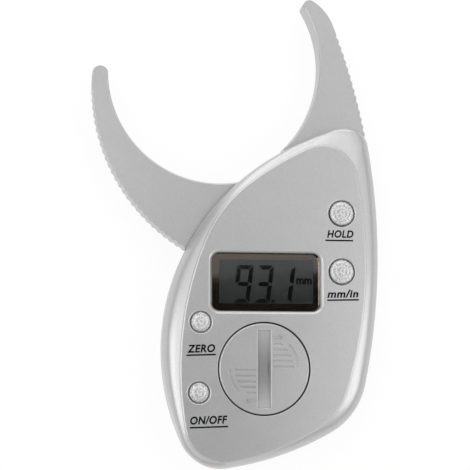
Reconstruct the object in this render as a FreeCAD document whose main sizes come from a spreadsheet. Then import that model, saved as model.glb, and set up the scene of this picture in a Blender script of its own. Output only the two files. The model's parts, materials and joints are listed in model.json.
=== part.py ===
import FreeCAD, Part
import math
import os
import re
import Sketcher

# Digital skinfold caliper, millimetres.
# It lies on its back: the back face is Z = 0, the display looks along +Z, the jaws point along +Y.
# The origin is on the back face, on the axis of the jaw pivot.
# The jaws are modelled open, as far as the moving jaw goes.

Vector = FreeCAD.Vector
UP = Vector(0, 0, 1)
doc = FreeCAD.newDocument("skinfold_caliper")

# ---------------------------------------------------------------- driving dimensions

DIMENSIONS = {
    # heights of the housing
    "seam_height": 4.5,
    "floor_thickness": 2.0,
    "wall": 1.8,
    "roof": 1.8,
    "seam_draft": 0.4,
    "back_round": 1.4,
    "ridge_round": 0.6,
    "lip_height": 1.0,
    "lip_thickness": 0.9,
    "lip_gap": 0.1,
    # sides of the housing seen from the front: direction, reach from the housing's middle, radius
    "middle_x": -1.24,
    "middle_y": -29.05,
    "base_left_direction": 164.0,
    "base_left_reach": 34.9,
    "base_left_radius": 75.0,
    "base_right_direction": -7.0,
    "base_right_reach": 35.95,
    "base_right_radius": 218.0,
    "base_tail_direction": -60.6,
    "base_tail_reach": 44.25,
    "base_tail_radius": 103.6,
    "base_top_corner": 5.0,
    "base_right_corner": 24.6,
    "base_tail_corner": 13.6,
    # the same sides at the ridge round the flat front face
    "face_upper_direction": 143.7,
    "face_upper_reach": 37.08,
    "face_upper_radius": 112.0,
    "face_right_direction": -9.4,
    "face_right_reach": 30.63,
    "face_right_radius": 144.4,
    "face_tail_direction": -52.0,
    "face_tail_reach": 40.2,
    "face_tail_radius": 87.3,
    "face_lower_direction": 168.0,
    "face_lower_reach": 29.35,
    "face_lower_radius": 113.5,
    "face_top_corner": 12.0,
    "face_right_corner": 23.7,
    "face_tail_corner": 13.4,
    "face_left_corner": 46.9,
    # jaws
    "jaw_thickness": 8.0,
    "jaw_gap": 0.25,
    "jaw_reach": 79.4,
    "jaw_opening": 54.1,
    "fixed_line_angle": 82.2,
    "jaw_edge_chamfer": 0.35,
    "hub_radius": 19.1,
    "moving_bow_radius": 37.8,
    "moving_back_radius": 65.0,
    "moving_back_offset": 15.4,
    "moving_tip_radius": 2.65,
    "fixed_bow_radius": 40.3,
    "fixed_bow_offset": 22.3,
    "contact_flat_depth": 0.05,
    "fixed_nose_radius": 17.2,
    "fixed_nose_drop": 12.7,
    "fixed_tip_radius": 2.2,
    "fixed_edge_inset": 0.05,
    "fixed_root_bottom": 0.5,
    "scallop_pitch": 2.6,
    "scallop_depth": 0.32,
    "moving_scallop_start": 7.0,
    "fixed_scallop_start": 4.5,
    # slot between the covers, as angles about the pivot
    "slot_right_angle": 44.0,
    "slot_left_angle": 196.5,
    # pivot
    "post_radius": 3.0,
    "post_shoulder_radius": 5.5,
    "running_clearance": 0.05,
    "bushing_wall": 1.2,
    "friction_washer_height": 0.6,
    "pivot_recess_radius": 6.5,
    "pivot_recess_depth": 1.6,
    "washer_thickness": 0.5,
    "pivot_screw_head_radius": 2.6,
    "pivot_screw_head_height": 1.2,
    "pivot_screw_radius": 1.25,
    "pivot_screw_length": 8.0,
    # angle encoder and circuit board
    "rotor_thickness": 0.4,
    "rotor_bore_radius": 8.0,
    "rotor_inset": 1.6,
    "encoder_gap": 0.3,
    "board_thickness": 1.0,
    "board_inset": 2.6,
    "board_to_roof": 3.15,
    # display
    "window_x": -3.42,
    "window_y": -18.07,
    "window_length": 36.85,
    "window_height": 19.55,
    "window_corner": 2.7,
    "window_bevel": 0.8,
    "lens_recess": 0.6,
    "lens_fit": 0.1,
    "lens_flange": 1.2,
    "lens_flange_thickness": 0.8,
    "lens_flange_corner": 4.4,
    "lcd_margin": 1.0,
    "lcd_thickness": 1.4,
    "lcd_top_gap": 0.05,
    "lcd_fit": 0.2,
    "zebra_margin": 2.0,
    "zebra_width": 1.6,
    # buttons
    "hold_x": 22.4,
    "hold_y": 5.4,
    "units_x": 22.3,
    "units_y": -14.4,
    "zero_x": -25.5,
    "zero_y": -31.6,
    "power_x": -26.0,
    "power_y": -54.9,
    "large_button_radius": 4.05,
    "small_button_radius": 3.2,
    "button_gap": 0.35,
    "button_rise": 0.9,
    "button_edge": 0.15,
    "button_flange": 0.9,
    "button_flange_thickness": 0.8,
    "button_guide_wall": 0.6,
    "button_stem_radius": 1.5,
    "button_travel": 0.5,
    "countersink": 0.35,
    "switch_size": 5.0,
    "switch_height": 0.45,
    # battery
    "battery_x": -4.2,
    "battery_y": -47.0,
    "battery_cover_gap": 0.35,
    "battery_cover_thickness": 2.4,
    "battery_cover_bevel": 0.4,
    "battery_ring_wall": 1.6,
    "ledge_width": 2.1,
    "ledge_thickness": 0.8,
    "lug_reach": 1.0,
    "lug_angle": 30.0,
    "lug_turn": 60.0,
    "skirt_wall": 1.7,
    "skirt_gap": 0.3,
    "bayonet_clearance": 0.1,
    "coin_slot_length": 26.0,
    "coin_slot_width": 4.7,
    "coin_slot_depth": 1.8,
    "coin_slot_end_depth": 0.5,
    "coin_slot_floor": 2.7,
    "grip_groove_width": 0.8,
    "grip_groove_depth": 0.3,
    "grip_groove_pitch": 1.88,
    "grip_groove_first": 0.6,
    "grip_groove_gap": 0.6,
    "grip_field_radius": 10.0,
    "grip_arc_radius": 11.0,
    "grip_arc_width": 0.9,
    "seal_thickness": 0.8,
    "cell_radius": 10.0,
    "cell_height": 3.2,
    "cell_headroom": 0.5,
    "cell_side_room": 1.5,
    "holder_fit": 0.3,
    "holder_wall": 1.0,
    "holder_flange": 1.3,
    "holder_flange_thickness": 0.4,
    "skirt_foot_gap": 0.15,
    "contact_thickness": 0.3,
    "contact_width": 4.0,
    # screws that close the case, their posts, and the screws of the fixed jaw
    "post_outer_radius": 2.6,
    "post_step": 0.8,
    "board_hole_clearance": 0.2,
    "case_screw_radius": 1.1,
    "case_screw_head_radius": 2.3,
    "case_screw_head_height": 1.2,
    "case_screw_length": 11.0,
    "board_screw_radius": 0.8,
    "board_screw_head_radius": 1.5,
    "board_screw_head_height": 0.8,
    "board_screw_length": 3.4,
    "board_boss_radius": 2.1,
    "screw_fit": 0.2,
    "jaw_screw_radius": 1.3,
    "jaw_screw_head_radius": 2.6,
    "jaw_screw_head_height": 1.6,
    "jaw_boss_radius": 3.4,
}

# Heights and radii that follow from the driving dimensions.
DERIVED = {
    "jaw_bottom": "(seam_height + jaw_gap)",
    "jaw_top": "(jaw_bottom + jaw_thickness)",
    "slot_top": "(jaw_top + jaw_gap)",
    "rotor_top": "(jaw_top + rotor_thickness)",
    "board_bottom": "(rotor_top + encoder_gap)",
    "board_top": "(board_bottom + board_thickness)",
    "roof_bottom": "(board_top + board_to_roof)",
    "face_height": "(roof_bottom + roof)",
    "post_top": "(jaw_top - pivot_recess_depth + 0.1)",
    "shoulder_top": "(jaw_bottom - friction_washer_height - running_clearance)",
    "bushing_radius": "(post_radius + running_clearance + bushing_wall)",
    "flange_bottom": "(roof_bottom - lens_flange_thickness)",
    "lcd_top": "(flange_bottom - lcd_top_gap)",
    "lcd_bottom": "(lcd_top - lcd_thickness)",
    "lcd_length": "(window_length - 2 * lcd_margin)",
    "lcd_height": "(window_height - 2 * lcd_margin)",
    "zebra_length": "(lcd_length - 2 * zebra_margin)",
    "cover_underside": "(face_height - battery_cover_thickness)",
    "ledge_top": "(cover_underside - bayonet_clearance)",
    "ledge_bottom": "(ledge_top - ledge_thickness)",
    "lug_top": "(ledge_bottom - bayonet_clearance)",
    "lug_bottom": "(board_top + holder_flange_thickness + skirt_foot_gap)",
    "skirt_inner_radius": "(cell_radius + cell_side_room)",
    "ledge_radius": "(skirt_inner_radius + skirt_wall + skirt_gap)",
    "battery_bore_radius": "(ledge_radius + ledge_width)",
    "lug_radius": "(ledge_radius + lug_reach)",
    "cell_top": "(cover_underside - cell_headroom)",
    "cell_bottom": "(cell_top - cell_height)",
    "holder_radius": "(cell_radius + holder_fit + holder_wall)",
    "holder_floor_top": "(cell_bottom - contact_thickness - running_clearance)",
}

# Places of the screws: direction from the housing's middle, and distance in from the ridge.
CASE_SCREW_SPOTS = [(41.9, 6.1), (2.3, 4.9), (-49.0, 9.2), (-113.0, 9.6), (162.0, 2.7)]
JAW_SCREW_SPOTS = [(53.2, 4.6), (68.5, 4.7)]
BOARD_SCREW_SPOTS = [(-33.9, 6.1), (-101.2, 9.0), (-150.6, 6.8)]


def build_sheet():
    """Write the driving dimensions into a spreadsheet whose cells carry their names."""
    sheet = doc.addObject("Spreadsheet::Sheet", "sizes")
    for row, (name, value) in enumerate(DIMENSIONS.items(), start=1):
        sheet.set("A%d" % row, name)
        sheet.set("B%d" % row, str(value))
        sheet.setAlias("B%d" % row, name)
    doc.recompute()
    return sheet


sizes = build_sheet()


def expression(text):
    """Spell out the derived names and point every driving name at the sheet."""
    text = str(text)
    while any(word in DERIVED for word in re.findall(r"[a-z_]+", text)):
        text = re.sub(r"[a-z_]+", lambda word: DERIVED.get(word.group(), word.group()), text)
    return re.sub(r"[a-z_]+", lambda word: "sizes." + word.group(), text)


def size(text):
    """The present value of a name or of a sum of names."""
    return float(sizes.evalExpression(expression(text)))


# ---------------------------------------------------------------- helpers for bodies

def new_body(label):
    body = doc.addObject("PartDesign::Body", label)
    body.Label = label
    return body


def place(item, x="0", y="0", z="0"):
    item.setExpression("Placement.Base.x", expression(x))
    item.setExpression("Placement.Base.y", expression(y))
    item.setExpression("Placement.Base.z", expression(z))


def sketch_on(body, role, name, level="0"):
    """A sketch on one of the body's own origin planes, lifted by the given level."""
    plane = [item for item in body.Origin.OriginFeatures if item.Role == role][0]
    sketch = body.newObject("Sketcher::SketchObject", name)
    sketch.AttachmentSupport = [(plane, "")]
    sketch.MapMode = "FlatFace"
    sketch.setExpression("AttachmentOffset.Base.z", expression(level))
    return sketch


def bind(sketch, constraint, text):
    index = sketch.addConstraint(constraint)
    sketch.setExpression("Constraints[%d]" % index, expression(text))


def draw_circle(sketch, radius, x="0", y="0"):
    curve = Part.Circle(Vector(size(x), size(y), 0), UP, size(radius))
    circle = sketch.addGeometry(curve, False)
    bind(sketch, Sketcher.Constraint("Radius", circle, size(radius)), radius)
    bind(sketch, Sketcher.Constraint("DistanceX", -1, 1, circle, 3, size(x)), x)
    bind(sketch, Sketcher.Constraint("DistanceY", -1, 1, circle, 3, size(y)), y)


def draw_polygon(sketch, corners):
    """A closed outline; each corner is a pair of sums of named sizes."""
    points = [Vector(size(x), size(y), 0) for x, y in corners]
    lines = []
    for start, end in zip(points, points[1:] + points[:1]):
        lines.append(sketch.addGeometry(Part.LineSegment(start, end), False))
    for line, following in zip(lines, lines[1:] + lines[:1]):
        sketch.addConstraint(Sketcher.Constraint("Coincident", line, 2, following, 1))
    for line, (x, y) in zip(lines, corners):
        bind(sketch, Sketcher.Constraint("DistanceX", -1, 1, line, 1, size(x)), x)
        bind(sketch, Sketcher.Constraint("DistanceY", -1, 1, line, 1, size(y)), y)


def draw_rectangle(sketch, length, height, x="0", y="0"):
    half_length = "(%s) / 2" % length
    half_height = "(%s) / 2" % height
    corners = [
        ("%s - %s" % (x, half_length), "%s - %s" % (y, half_height)),
        ("%s + %s" % (x, half_length), "%s - %s" % (y, half_height)),
        ("%s + %s" % (x, half_length), "%s + %s" % (y, half_height)),
        ("%s - %s" % (x, half_length), "%s + %s" % (y, half_height)),
    ]
    draw_polygon(sketch, corners)


def pad(body, sketch, length, name="pad"):
    feature = body.newObject("PartDesign::Pad", name)
    feature.Profile = sketch
    feature.setExpression("Length", expression(length))
    doc.recompute()
    return feature


def pocket_down(body, sketch, depth, name="pocket"):
    """A pocket that cuts from its sketch towards -Z."""
    before = body.Shape.Volume
    feature = body.newObject("PartDesign::Pocket", name)
    feature.Profile = sketch
    feature.setExpression("Length", expression(depth))
    doc.recompute()
    if body.Shape.Volume >= before:
        raise RuntimeError("%s cuts nothing from %s" % (name, body.Label))
    return feature


def turn(label, corners, x="0", y="0"):
    """A turned piece: corners are (radius, height) pairs, spun about a vertical axis."""
    body = new_body(label)
    sketch = sketch_on(body, "XZ_Plane", label + "_profile")
    draw_polygon(sketch, corners)
    feature = body.newObject("PartDesign::Revolution", label + "_turn")
    feature.Profile = sketch
    feature.ReferenceAxis = (sketch, ["V_Axis"])
    feature.Angle = 360
    place(body, x, y)
    doc.recompute()
    return body


def upright_edges(shape, beyond):
    """Names of the upright edges that stand farther from the body's axis than the given distance."""
    names = []
    for number, edge in enumerate(shape.Edges, start=1):
        box = edge.BoundBox
        upright = edge.Curve.TypeId == "Part::GeomLine" and box.XLength + box.YLength < 1e-6
        if upright and math.hypot(box.XMin, box.YMin) > beyond:
            names.append("Edge%d" % number)
    return names


def round_corners(body, base, radius, beyond=0.0):
    feature = body.newObject("PartDesign::Fillet", base.Name + "_corners")
    feature.Base = (base, upright_edges(base.Shape, beyond))
    feature.setExpression("Radius", expression(radius))
    doc.recompute()
    return feature


def keep_shape(label, shape):
    """A sub-part whose shape is worked out by Part's functions."""
    item = doc.addObject("Part::Feature", label)
    item.Label = label
    item.Shape = shape
    item.Placement = FreeCAD.Placement()
    return item


# ---------------------------------------------------------------- outlines of the housing

def direction(degrees):
    return Vector(math.cos(math.radians(degrees)), math.sin(math.radians(degrees)), 0)


def side(prefix):
    """Direction, reach and radius of one side of an outline."""
    return [size(prefix + part) for part in ("_direction", "_reach", "_radius")]


BASE_SIDES = [side("base_left"), side("base_left"), side("base_tail"), side("base_right")]
FACE_SIDES = [side("face_upper"), side("face_lower"), side("face_tail"), side("face_right")]
BASE_CORNERS = [size("base_left_radius"), size("base_tail_corner"),
                size("base_right_corner"), size("base_top_corner")]
FACE_CORNERS = [size("face_left_corner"), size("face_tail_corner"),
                size("face_right_corner"), size("face_top_corner")]
MIDDLE = Vector(size("middle_x"), size("middle_y"), 0)


def side_circle(values, inset):
    heading, reach, radius = values
    return MIDDLE + direction(heading) * (reach - radius), radius - inset


def circles_meet(centre_a, radius_a, centre_b, radius_b):
    """The two points where two circles cross, the one on the left of the line from a to b first."""
    across = centre_b - centre_a
    distance = across.Length
    along_a = (distance ** 2 + radius_a ** 2 - radius_b ** 2) / (2 * distance)
    aside = math.sqrt(radius_a ** 2 - along_a ** 2)
    across.normalize()
    normal = Vector(-across.y, across.x, 0)
    foot = centre_a + across * along_a
    return foot + normal * aside, foot - normal * aside


def touching_circle(first, second, radius):
    """Centre of the circle of that radius that touches two larger circles from inside."""
    (centre_a, radius_a), (centre_b, radius_b) = first, second
    crossings = circles_meet(centre_a, radius_a - radius, centre_b, radius_b - radius)
    return min(crossings, key=lambda point: (point - MIDDLE).Length)


def housing_wire(blend, inset, level):
    """Outline of the housing: blend 0 is the base, blend 1 the ridge round the face."""
    def mix(base, face):
        return base + (face - base) * blend

    sides = [[mix(b, f) for b, f in zip(base, face)] for base, face in zip(BASE_SIDES, FACE_SIDES)]
    radii = [mix(base, face) - inset for base, face in zip(BASE_CORNERS, FACE_CORNERS)]
    circles = [side_circle(values, inset) for values in sides]
    # where the sides flow into one circle, the corner keeps the directions that it has at the face
    face_circles = [side_circle(values, inset) for values in FACE_SIDES]
    face_left = touching_circle(face_circles[0], face_circles[1], size("face_left_corner") - inset)
    arcs = []
    for number, circle in enumerate(circles):
        following = circles[(number + 1) % 4]
        arcs.append(circle)
        if number == 0 and blend == 0:
            arcs.append((circle[0], circle[1]))
        else:
            arcs.append((touching_circle(circle, following, radii[number]), radii[number]))
    joints = []
    for number, (centre, radius) in enumerate(arcs):
        following, following_radius = arcs[(number + 1) % 8]
        toward = following - centre if radius > following_radius else centre - following
        if toward.Length < 1e-6:
            toward = face_left - face_circles[0 if number == 0 else 1][0]
        joints.append(centre + toward.normalize() * radius)
    edges = []
    for number, (centre, radius) in enumerate(arcs):
        start, end = joints[number - 1], joints[number]
        middle = centre + ((start - centre) + (end - centre)).normalize() * radius
        edges.append(Part.Arc(start, middle, end).toShape())
    wire = Part.Wire(edges)
    wire.translate(Vector(0, 0, level))
    return wire


def housing_plate(blend, inset, bottom, top):
    face = Part.Face(housing_wire(blend, inset, bottom))
    return face.extrude(Vector(0, 0, top - bottom))


def spots(places):
    """Points at a direction from the housing's middle and a distance in from the ridge."""
    ridge = housing_wire(1, 0, 0)
    points = []
    for angle, inset in places:
        ray = Part.makeLine(MIDDLE, MIDDLE + direction(angle) * 2 * size("jaw_reach"))
        crossing = ridge.distToShape(ray)[1][0][0]
        point = crossing - direction(angle) * inset
        points.append((point.x, point.y))
    return points


def shoulder_levels():
    """Blend and height of the sections of the rounded shoulder, a part of an ellipse."""
    start, end = size("slot_top"), size("face_height") - size("ridge_round")
    last = math.radians(60)
    levels = []
    for step in range(9):
        angle = last * step / 8
        levels.append(((1 - math.cos(angle)) / (1 - math.cos(last)),
                       start + (end - start) * math.sin(angle) / math.sin(last)))
    return levels


def disc(radius, centre, bottom, top):
    return Part.makeCylinder(radius, top - bottom, Vector(centre[0], centre[1], bottom))


def sector(radius, first_angle, last_angle, bottom, top, centre=(0, 0)):
    """A wedge of a cylinder between two angles about a vertical axis."""
    wedge = Part.makeCylinder(radius, top - bottom, Vector(centre[0], centre[1], bottom), UP,
                              last_angle - first_angle)
    wedge.rotate(Vector(centre[0], centre[1], 0), UP, first_angle)
    return wedge


def slot_sector(bottom, top, clearance=0.0):
    """The space between the covers that the jaws come out of."""
    reach = 2 * size("jaw_reach")
    return sector(reach, size("slot_right_angle") + clearance, size("slot_left_angle") - clearance,
                  bottom, top)


def rounded_wire(length, height, corner, level):
    """A rectangle with round corners about the middle of the display."""
    x, y = size("window_x"), size("window_y")
    plate = Part.makeBox(length, height, 1, Vector(x - length / 2, y - height / 2, level))
    upright = [edge for edge in plate.Edges if edge.BoundBox.ZLength > 0.5]
    plate = plate.makeFillet(corner, upright)
    lowest = min(plate.Faces, key=lambda face: face.CenterOfMass.z)
    return lowest.OuterWire


# ---------------------------------------------------------------- covers

BUTTONS = {
    "hold": "large_button_radius",
    "units": "large_button_radius",
    "zero": "small_button_radius",
    "power": "small_button_radius",
}


def front_cover():
    """Deep front shell: straight walls, a rounded shoulder, a flat face and everything cut in it."""
    seam, face = size("seam_height"), size("face_height")
    wall, roof_bottom = size("wall"), size("roof_bottom")
    slot_top, draft = size("slot_top"), size("seam_draft")
    skirt = Part.makeLoft([housing_wire(0, draft, seam), housing_wire(0, 0, slot_top)], True, True)
    rings = [housing_wire(blend, 0, level) for blend, level in shoulder_levels()]
    shoulder = Part.makeLoft(rings, True, True)
    ridge_round = size("ridge_round")
    rim = []
    for angle in (0, 30, 60, 90):
        turned = math.radians(angle)
        rim.append(housing_wire(1, ridge_round * (1 - math.cos(turned)),
                                face - ridge_round * (1 - math.sin(turned))))
    shell = skirt.fuse([shoulder, Part.makeLoft(rim, True, True)]).removeSplitter()

    lower = Part.makeLoft([housing_wire(0, draft + wall, seam), housing_wire(0, wall, slot_top)], True, True)
    upper = Part.makeLoft([housing_wire(0, wall, slot_top), housing_wire(0.8, wall, roof_bottom)], True, True)
    shell = shell.cut(lower).cut(upper)

    battery = (size("battery_x"), size("battery_y"))
    bore = size("battery_bore_radius")
    ring = disc(bore + size("battery_ring_wall"), battery, size("lug_bottom") - 0.3, roof_bottom)
    step = size("post_outer_radius") + size("post_step")
    posts = [ring]
    for spot in spots(CASE_SCREW_SPOTS):
        posts.append(disc(step, spot, size("board_top"), roof_bottom))
        posts.append(disc(size("post_outer_radius"), spot, seam, size("board_top")))
    for spot in spots(BOARD_SCREW_SPOTS):
        posts.append(disc(size("board_boss_radius"), spot, size("board_top"), roof_bottom))
    for name, radius in BUTTONS.items():
        spot = (size(name + "_x"), size(name + "_y"))
        guide = size(radius) + size("button_flange") + size("button_gap")
        collar = disc(guide + size("button_guide_wall"), spot, size("board_top") + 1.2, roof_bottom)
        posts.append(collar.cut(disc(guide, spot, size("board_top"), roof_bottom)))
    for post in posts:
        shell = shell.fuse(post)

    cuts = [slot_sector(seam - 1, slot_top)]
    length, height = size("window_length"), size("window_height")
    corner, bevel = size("window_corner"), size("window_bevel")
    opening = Part.Face(rounded_wire(length, height, corner, roof_bottom - 1))
    cuts.append(opening.extrude(Vector(0, 0, 3 + face - roof_bottom)))
    flare = [rounded_wire(length, height, corner, face - bevel),
             rounded_wire(length + 4 * bevel, height + 4 * bevel, corner + 2 * bevel, face + bevel)]
    cuts.append(Part.makeLoft(flare, True, True))
    for name, radius in BUTTONS.items():
        spot = (size(name + "_x"), size(name + "_y"))
        cuts.append(disc(size(radius) + size("button_gap"), spot, roof_bottom - 1, face + 1))
        rim = size(radius) + size("button_gap")
        sink = size("countersink")
        cuts.append(Part.makeCone(rim, rim + 2 * sink, 2 * sink, Vector(spot[0], spot[1], face - sink)))
    for spot in spots(CASE_SCREW_SPOTS):
        cuts.append(disc(size("case_screw_radius"), spot, seam - 1, size("board_top") + 1.5))
    for spot in spots(BOARD_SCREW_SPOTS):
        cuts.append(disc(size("board_screw_radius"), spot, size("board_top") - 1, roof_bottom + 0.4))
    cuts.append(disc(bore, battery, size("ledge_top"), face + 1))
    cuts.append(disc(size("ledge_radius"), battery, size("lug_bottom") - 1, face))
    room = size("lug_radius") + 4 * size("bayonet_clearance")
    cuts.append(disc(room, battery, size("lug_bottom") - 1, size("ledge_bottom")))
    for half_turn in (0, 180):
        start = size("lug_turn") - size("lug_angle") / 2 - 2 + half_turn
        cuts.append(sector(room, start, start + size("lug_angle") + 4, size("ledge_bottom") - 0.5,
                           size("cover_underside"), battery))
    for cut in cuts:
        shell = shell.cut(cut)
    return keep_shape("front_cover", shell)


def back_cover():
    """Shallow back shell with the pivot post, the bosses under the fixed jaw and the screw bosses."""
    seam, floor = size("seam_height"), size("floor_thickness")
    draft, wall = size("seam_draft"), size("wall")
    shell = housing_plate(0, draft, 0, seam)
    lowest = [edge for edge in shell.Edges if edge.BoundBox.ZMax < 1e-3]
    shell = shell.makeFillet(size("back_round"), lowest)
    lip = housing_plate(0, draft + wall + size("lip_gap"), floor, seam + size("lip_height"))
    lip = lip.cut(slot_sector(seam, seam + size("lip_height") + 1, -2.0))
    shell = shell.fuse(lip)
    inner = draft + wall + size("lip_gap") + size("lip_thickness")
    shell = shell.cut(housing_plate(0, inner, floor, seam + size("lip_height") + 1))

    origin = (0, 0)
    additions = [
        disc(size("post_shoulder_radius"), origin, floor - 0.5, size("shoulder_top")),
        disc(size("post_radius"), origin, floor, size("post_top")),
    ]
    for spot in spots(CASE_SCREW_SPOTS):
        additions.append(disc(size("post_outer_radius") + size("post_step"), spot, floor - 0.5, seam))
    for spot in spots(JAW_SCREW_SPOTS):
        additions.append(disc(size("jaw_boss_radius"), spot, floor - 0.5, size("jaw_bottom")))
    for item in additions:
        shell = shell.fuse(item)

    cuts = [disc(size("pivot_screw_radius"), origin, size("post_top") - size("pivot_screw_length"),
                 size("post_top") + 1)]
    head = size("case_screw_head_radius") + size("screw_fit")
    for spot in spots(CASE_SCREW_SPOTS):
        cuts.append(disc(head, spot, -1, size("case_screw_head_height") + 0.1))
        cuts.append(disc(size("case_screw_radius") + size("screw_fit"), spot, -1, seam + 1))
    for spot in spots(JAW_SCREW_SPOTS):
        cuts.append(disc(size("jaw_screw_radius"), spot, floor - 0.4, size("jaw_bottom") + 1))
    for cut in cuts:
        shell = shell.cut(cut)
    return keep_shape("back_cover", shell)


# ---------------------------------------------------------------- jaws

def flat_disc(centre, radius):
    return Part.Face(Part.Wire(Part.makeCircle(radius, centre)))


def flat_polygon(points):
    return Part.Face(Part.makePolygon(points + points[:1]))


def scalloped(face, centre, radius, first_angle, last_angle):
    """Press a row of shallow scallops into a round edge between two angles about its centre."""
    pitch = math.degrees(size("scallop_pitch") / radius)
    depth = size("scallop_depth")
    half = size("scallop_pitch") * 0.36
    cutter = (half ** 2 + depth ** 2) / (2 * depth)
    count = int(abs(last_angle - first_angle) / pitch)
    step = pitch if last_angle > first_angle else -pitch
    cutters = []
    for number in range(count + 1):
        heading = direction(first_angle + number * step)
        cutters.append(flat_disc(centre + heading * (radius - depth + cutter), cutter))
    return face.cut(cutters)


def heading_of(vector):
    return math.degrees(math.atan2(vector.y, vector.x))


def moving_geometry():
    """Centres of the moving jaw's inner curve, outer curve and tip, open.

    The inner curve touches the hub and the tip from outside; the outer curve holds the tip."""
    along = direction(size("fixed_line_angle") + size("jaw_opening"))
    closing = Vector(along.y, -along.x, 0)
    bow_radius, back_radius = size("moving_bow_radius"), size("moving_back_radius")
    tip_radius, pivot = size("moving_tip_radius"), Vector()
    tip = along * size("jaw_reach") - closing * tip_radius
    bow = circles_meet(tip, bow_radius + tip_radius, pivot, bow_radius + size("hub_radius"))[0]
    back = circles_meet(tip, back_radius - tip_radius, pivot, back_radius - size("moving_back_offset"))[0]
    return bow, back, tip


def break_bow_edges(solid, bow, radius):
    """Break the two edges of the inner curve with a cone above and a cone below."""
    break_size = size("jaw_edge_chamfer")
    bottom, top = size("jaw_bottom"), size("jaw_top")
    wide = radius + 2 * break_size
    upper = Part.makeCone(radius, wide, 2 * break_size, Vector(bow.x, bow.y, top - break_size))
    lower = Part.makeCone(wide, radius, 2 * break_size, Vector(bow.x, bow.y, bottom - break_size))
    return solid.cut([upper, lower])


def moving_jaw():
    bow, back, tip = moving_geometry()
    bow_radius, back_radius = size("moving_bow_radius"), size("moving_back_radius")
    blade = flat_disc(back, back_radius).cut(flat_disc(bow, bow_radius))
    far = 3 * size("jaw_reach")
    to_tip = (tip - bow).normalize()
    to_pivot = Vector(-bow.x, -bow.y, 0).normalize()
    between = (to_tip + to_pivot).normalize()
    wedge = flat_polygon([bow, bow + to_tip * far, bow + between * far, bow + to_pivot * far])
    blade = blade.common(wedge)
    # scallops run from near the tip to where the edge goes under the cover
    rim, rim_radius = side_circle(BASE_SIDES[0], 0)
    under_cover = min(circles_meet(back, back_radius, rim, rim_radius), key=lambda point: point.x)
    first = heading_of(tip - back) + math.degrees(size("moving_scallop_start") / back_radius)
    last = heading_of(under_cover - back) + math.degrees(size("wall") / back_radius) + 360
    blade = scalloped(blade, back, back_radius, first, last)
    bottom, top = size("jaw_bottom"), size("jaw_top")
    solid = blade.extrude(Vector(0, 0, top - bottom))
    solid.translate(Vector(0, 0, bottom))
    solid = solid.fuse([disc(size("moving_tip_radius"), tip, bottom, top),
                        disc(size("hub_radius"), (0, 0), bottom, top)]).removeSplitter()
    solid = break_bow_edges(solid, bow, bow_radius)
    solid = solid.cut(disc(size("bushing_radius"), (0, 0), bottom - 1, top + 1))
    solid = solid.cut(disc(size("pivot_recess_radius"), (0, 0), top - size("pivot_recess_depth"), top + 1))
    return keep_shape("moving_jaw", solid)


def fixed_jaw():
    """The jaw whose outer edge carries on the right side of the housing."""
    along = direction(size("fixed_line_angle"))
    closing = Vector(-along.y, along.x, 0)
    bow_radius = size("fixed_bow_radius")
    contact = along * size("jaw_reach")
    bow = circles_meet(Vector(), bow_radius + size("fixed_bow_offset"),
                       contact, bow_radius + size("contact_flat_depth"))[0]
    back, back_radius = side_circle(BASE_SIDES[3], size("fixed_edge_inset"))
    far = 3 * size("jaw_reach")

    nose_radius = size("fixed_nose_radius")
    nose_y = contact.y - size("fixed_nose_drop")
    nose_x = back.x + math.sqrt((back_radius - nose_radius) ** 2 - (nose_y - back.y) ** 2)
    nose = Vector(nose_x, nose_y, 0)
    outward = (nose - back).normalize()
    # the root ends where the moving jaw's inner curve passes when the jaws are shut
    shut_bow = FreeCAD.Rotation(UP, -size("jaw_opening")).multVec(moving_geometry()[0])
    tail = circles_meet(bow, bow_radius, shut_bow, size("moving_bow_radius - 2 * jaw_gap"))[1]
    root = direction(size("slot_right_angle") + 6) * (size("hub_radius") + 2 * size("jaw_gap"))
    bottom_y = size("fixed_root_bottom")
    below_nose = flat_polygon([
        bow, tail, root, Vector(root.x, bottom_y, 0), Vector(far, bottom_y, 0),
        nose + outward * far, nose, Vector(bow.x, nose.y, 0),
    ])
    blade = flat_disc(back, back_radius).cut(flat_disc(bow, bow_radius))
    blade = blade.common(below_nose.fuse(flat_disc(nose, nose_radius)))
    blade = blade.cut(flat_disc(Vector(), size("hub_radius") + 2 * size("jaw_gap")))
    beyond = flat_polygon([contact - along * far, contact + along * far,
                           contact + along * far + closing * far, contact - along * far + closing * far])
    blade = blade.cut(beyond)
    slot_end = direction(size("slot_right_angle"))
    inward = slot_end.dot(back)
    last_point = slot_end * (inward + math.sqrt(inward ** 2 + back_radius ** 2 - back.Length ** 2))
    last = heading_of(last_point - back)
    first = heading_of(outward) - math.degrees(size("fixed_scallop_start") / back_radius)
    blade = scalloped(blade, back, back_radius, first, last).removeSplitter()

    bottom, top = size("jaw_bottom"), size("jaw_top")
    solid = blade.extrude(Vector(0, 0, top - bottom))
    solid.translate(Vector(0, 0, bottom))
    corner = [edge for edge in solid.Edges
              if edge.BoundBox.ZLength > 1 and edge.BoundBox.YMin > contact.y + 0.5]
    solid = solid.makeFillet(size("fixed_tip_radius"), corner)
    lip = size("seam_draft") + size("wall") + size("lip_gap") + size("lip_thickness")
    inside = housing_plate(0, lip + size("jaw_gap"), bottom - 1, top + 1)
    outside = slot_sector(bottom - 1, top + 1, 0.6)
    solid = solid.common(inside.fuse(outside)).removeSplitter()
    solid = break_bow_edges(solid, bow, bow_radius)
    for spot in spots(JAW_SCREW_SPOTS):
        solid = solid.cut(disc(size("jaw_screw_radius") + size("screw_fit"), spot, bottom - 1, top + 1))
        solid = solid.cut(disc(size("jaw_screw_head_radius") + size("screw_fit"), spot,
                               top - size("jaw_screw_head_height"), top + 1))
    return keep_shape("fixed_jaw", solid)


# ---------------------------------------------------------------- pivot

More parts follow.
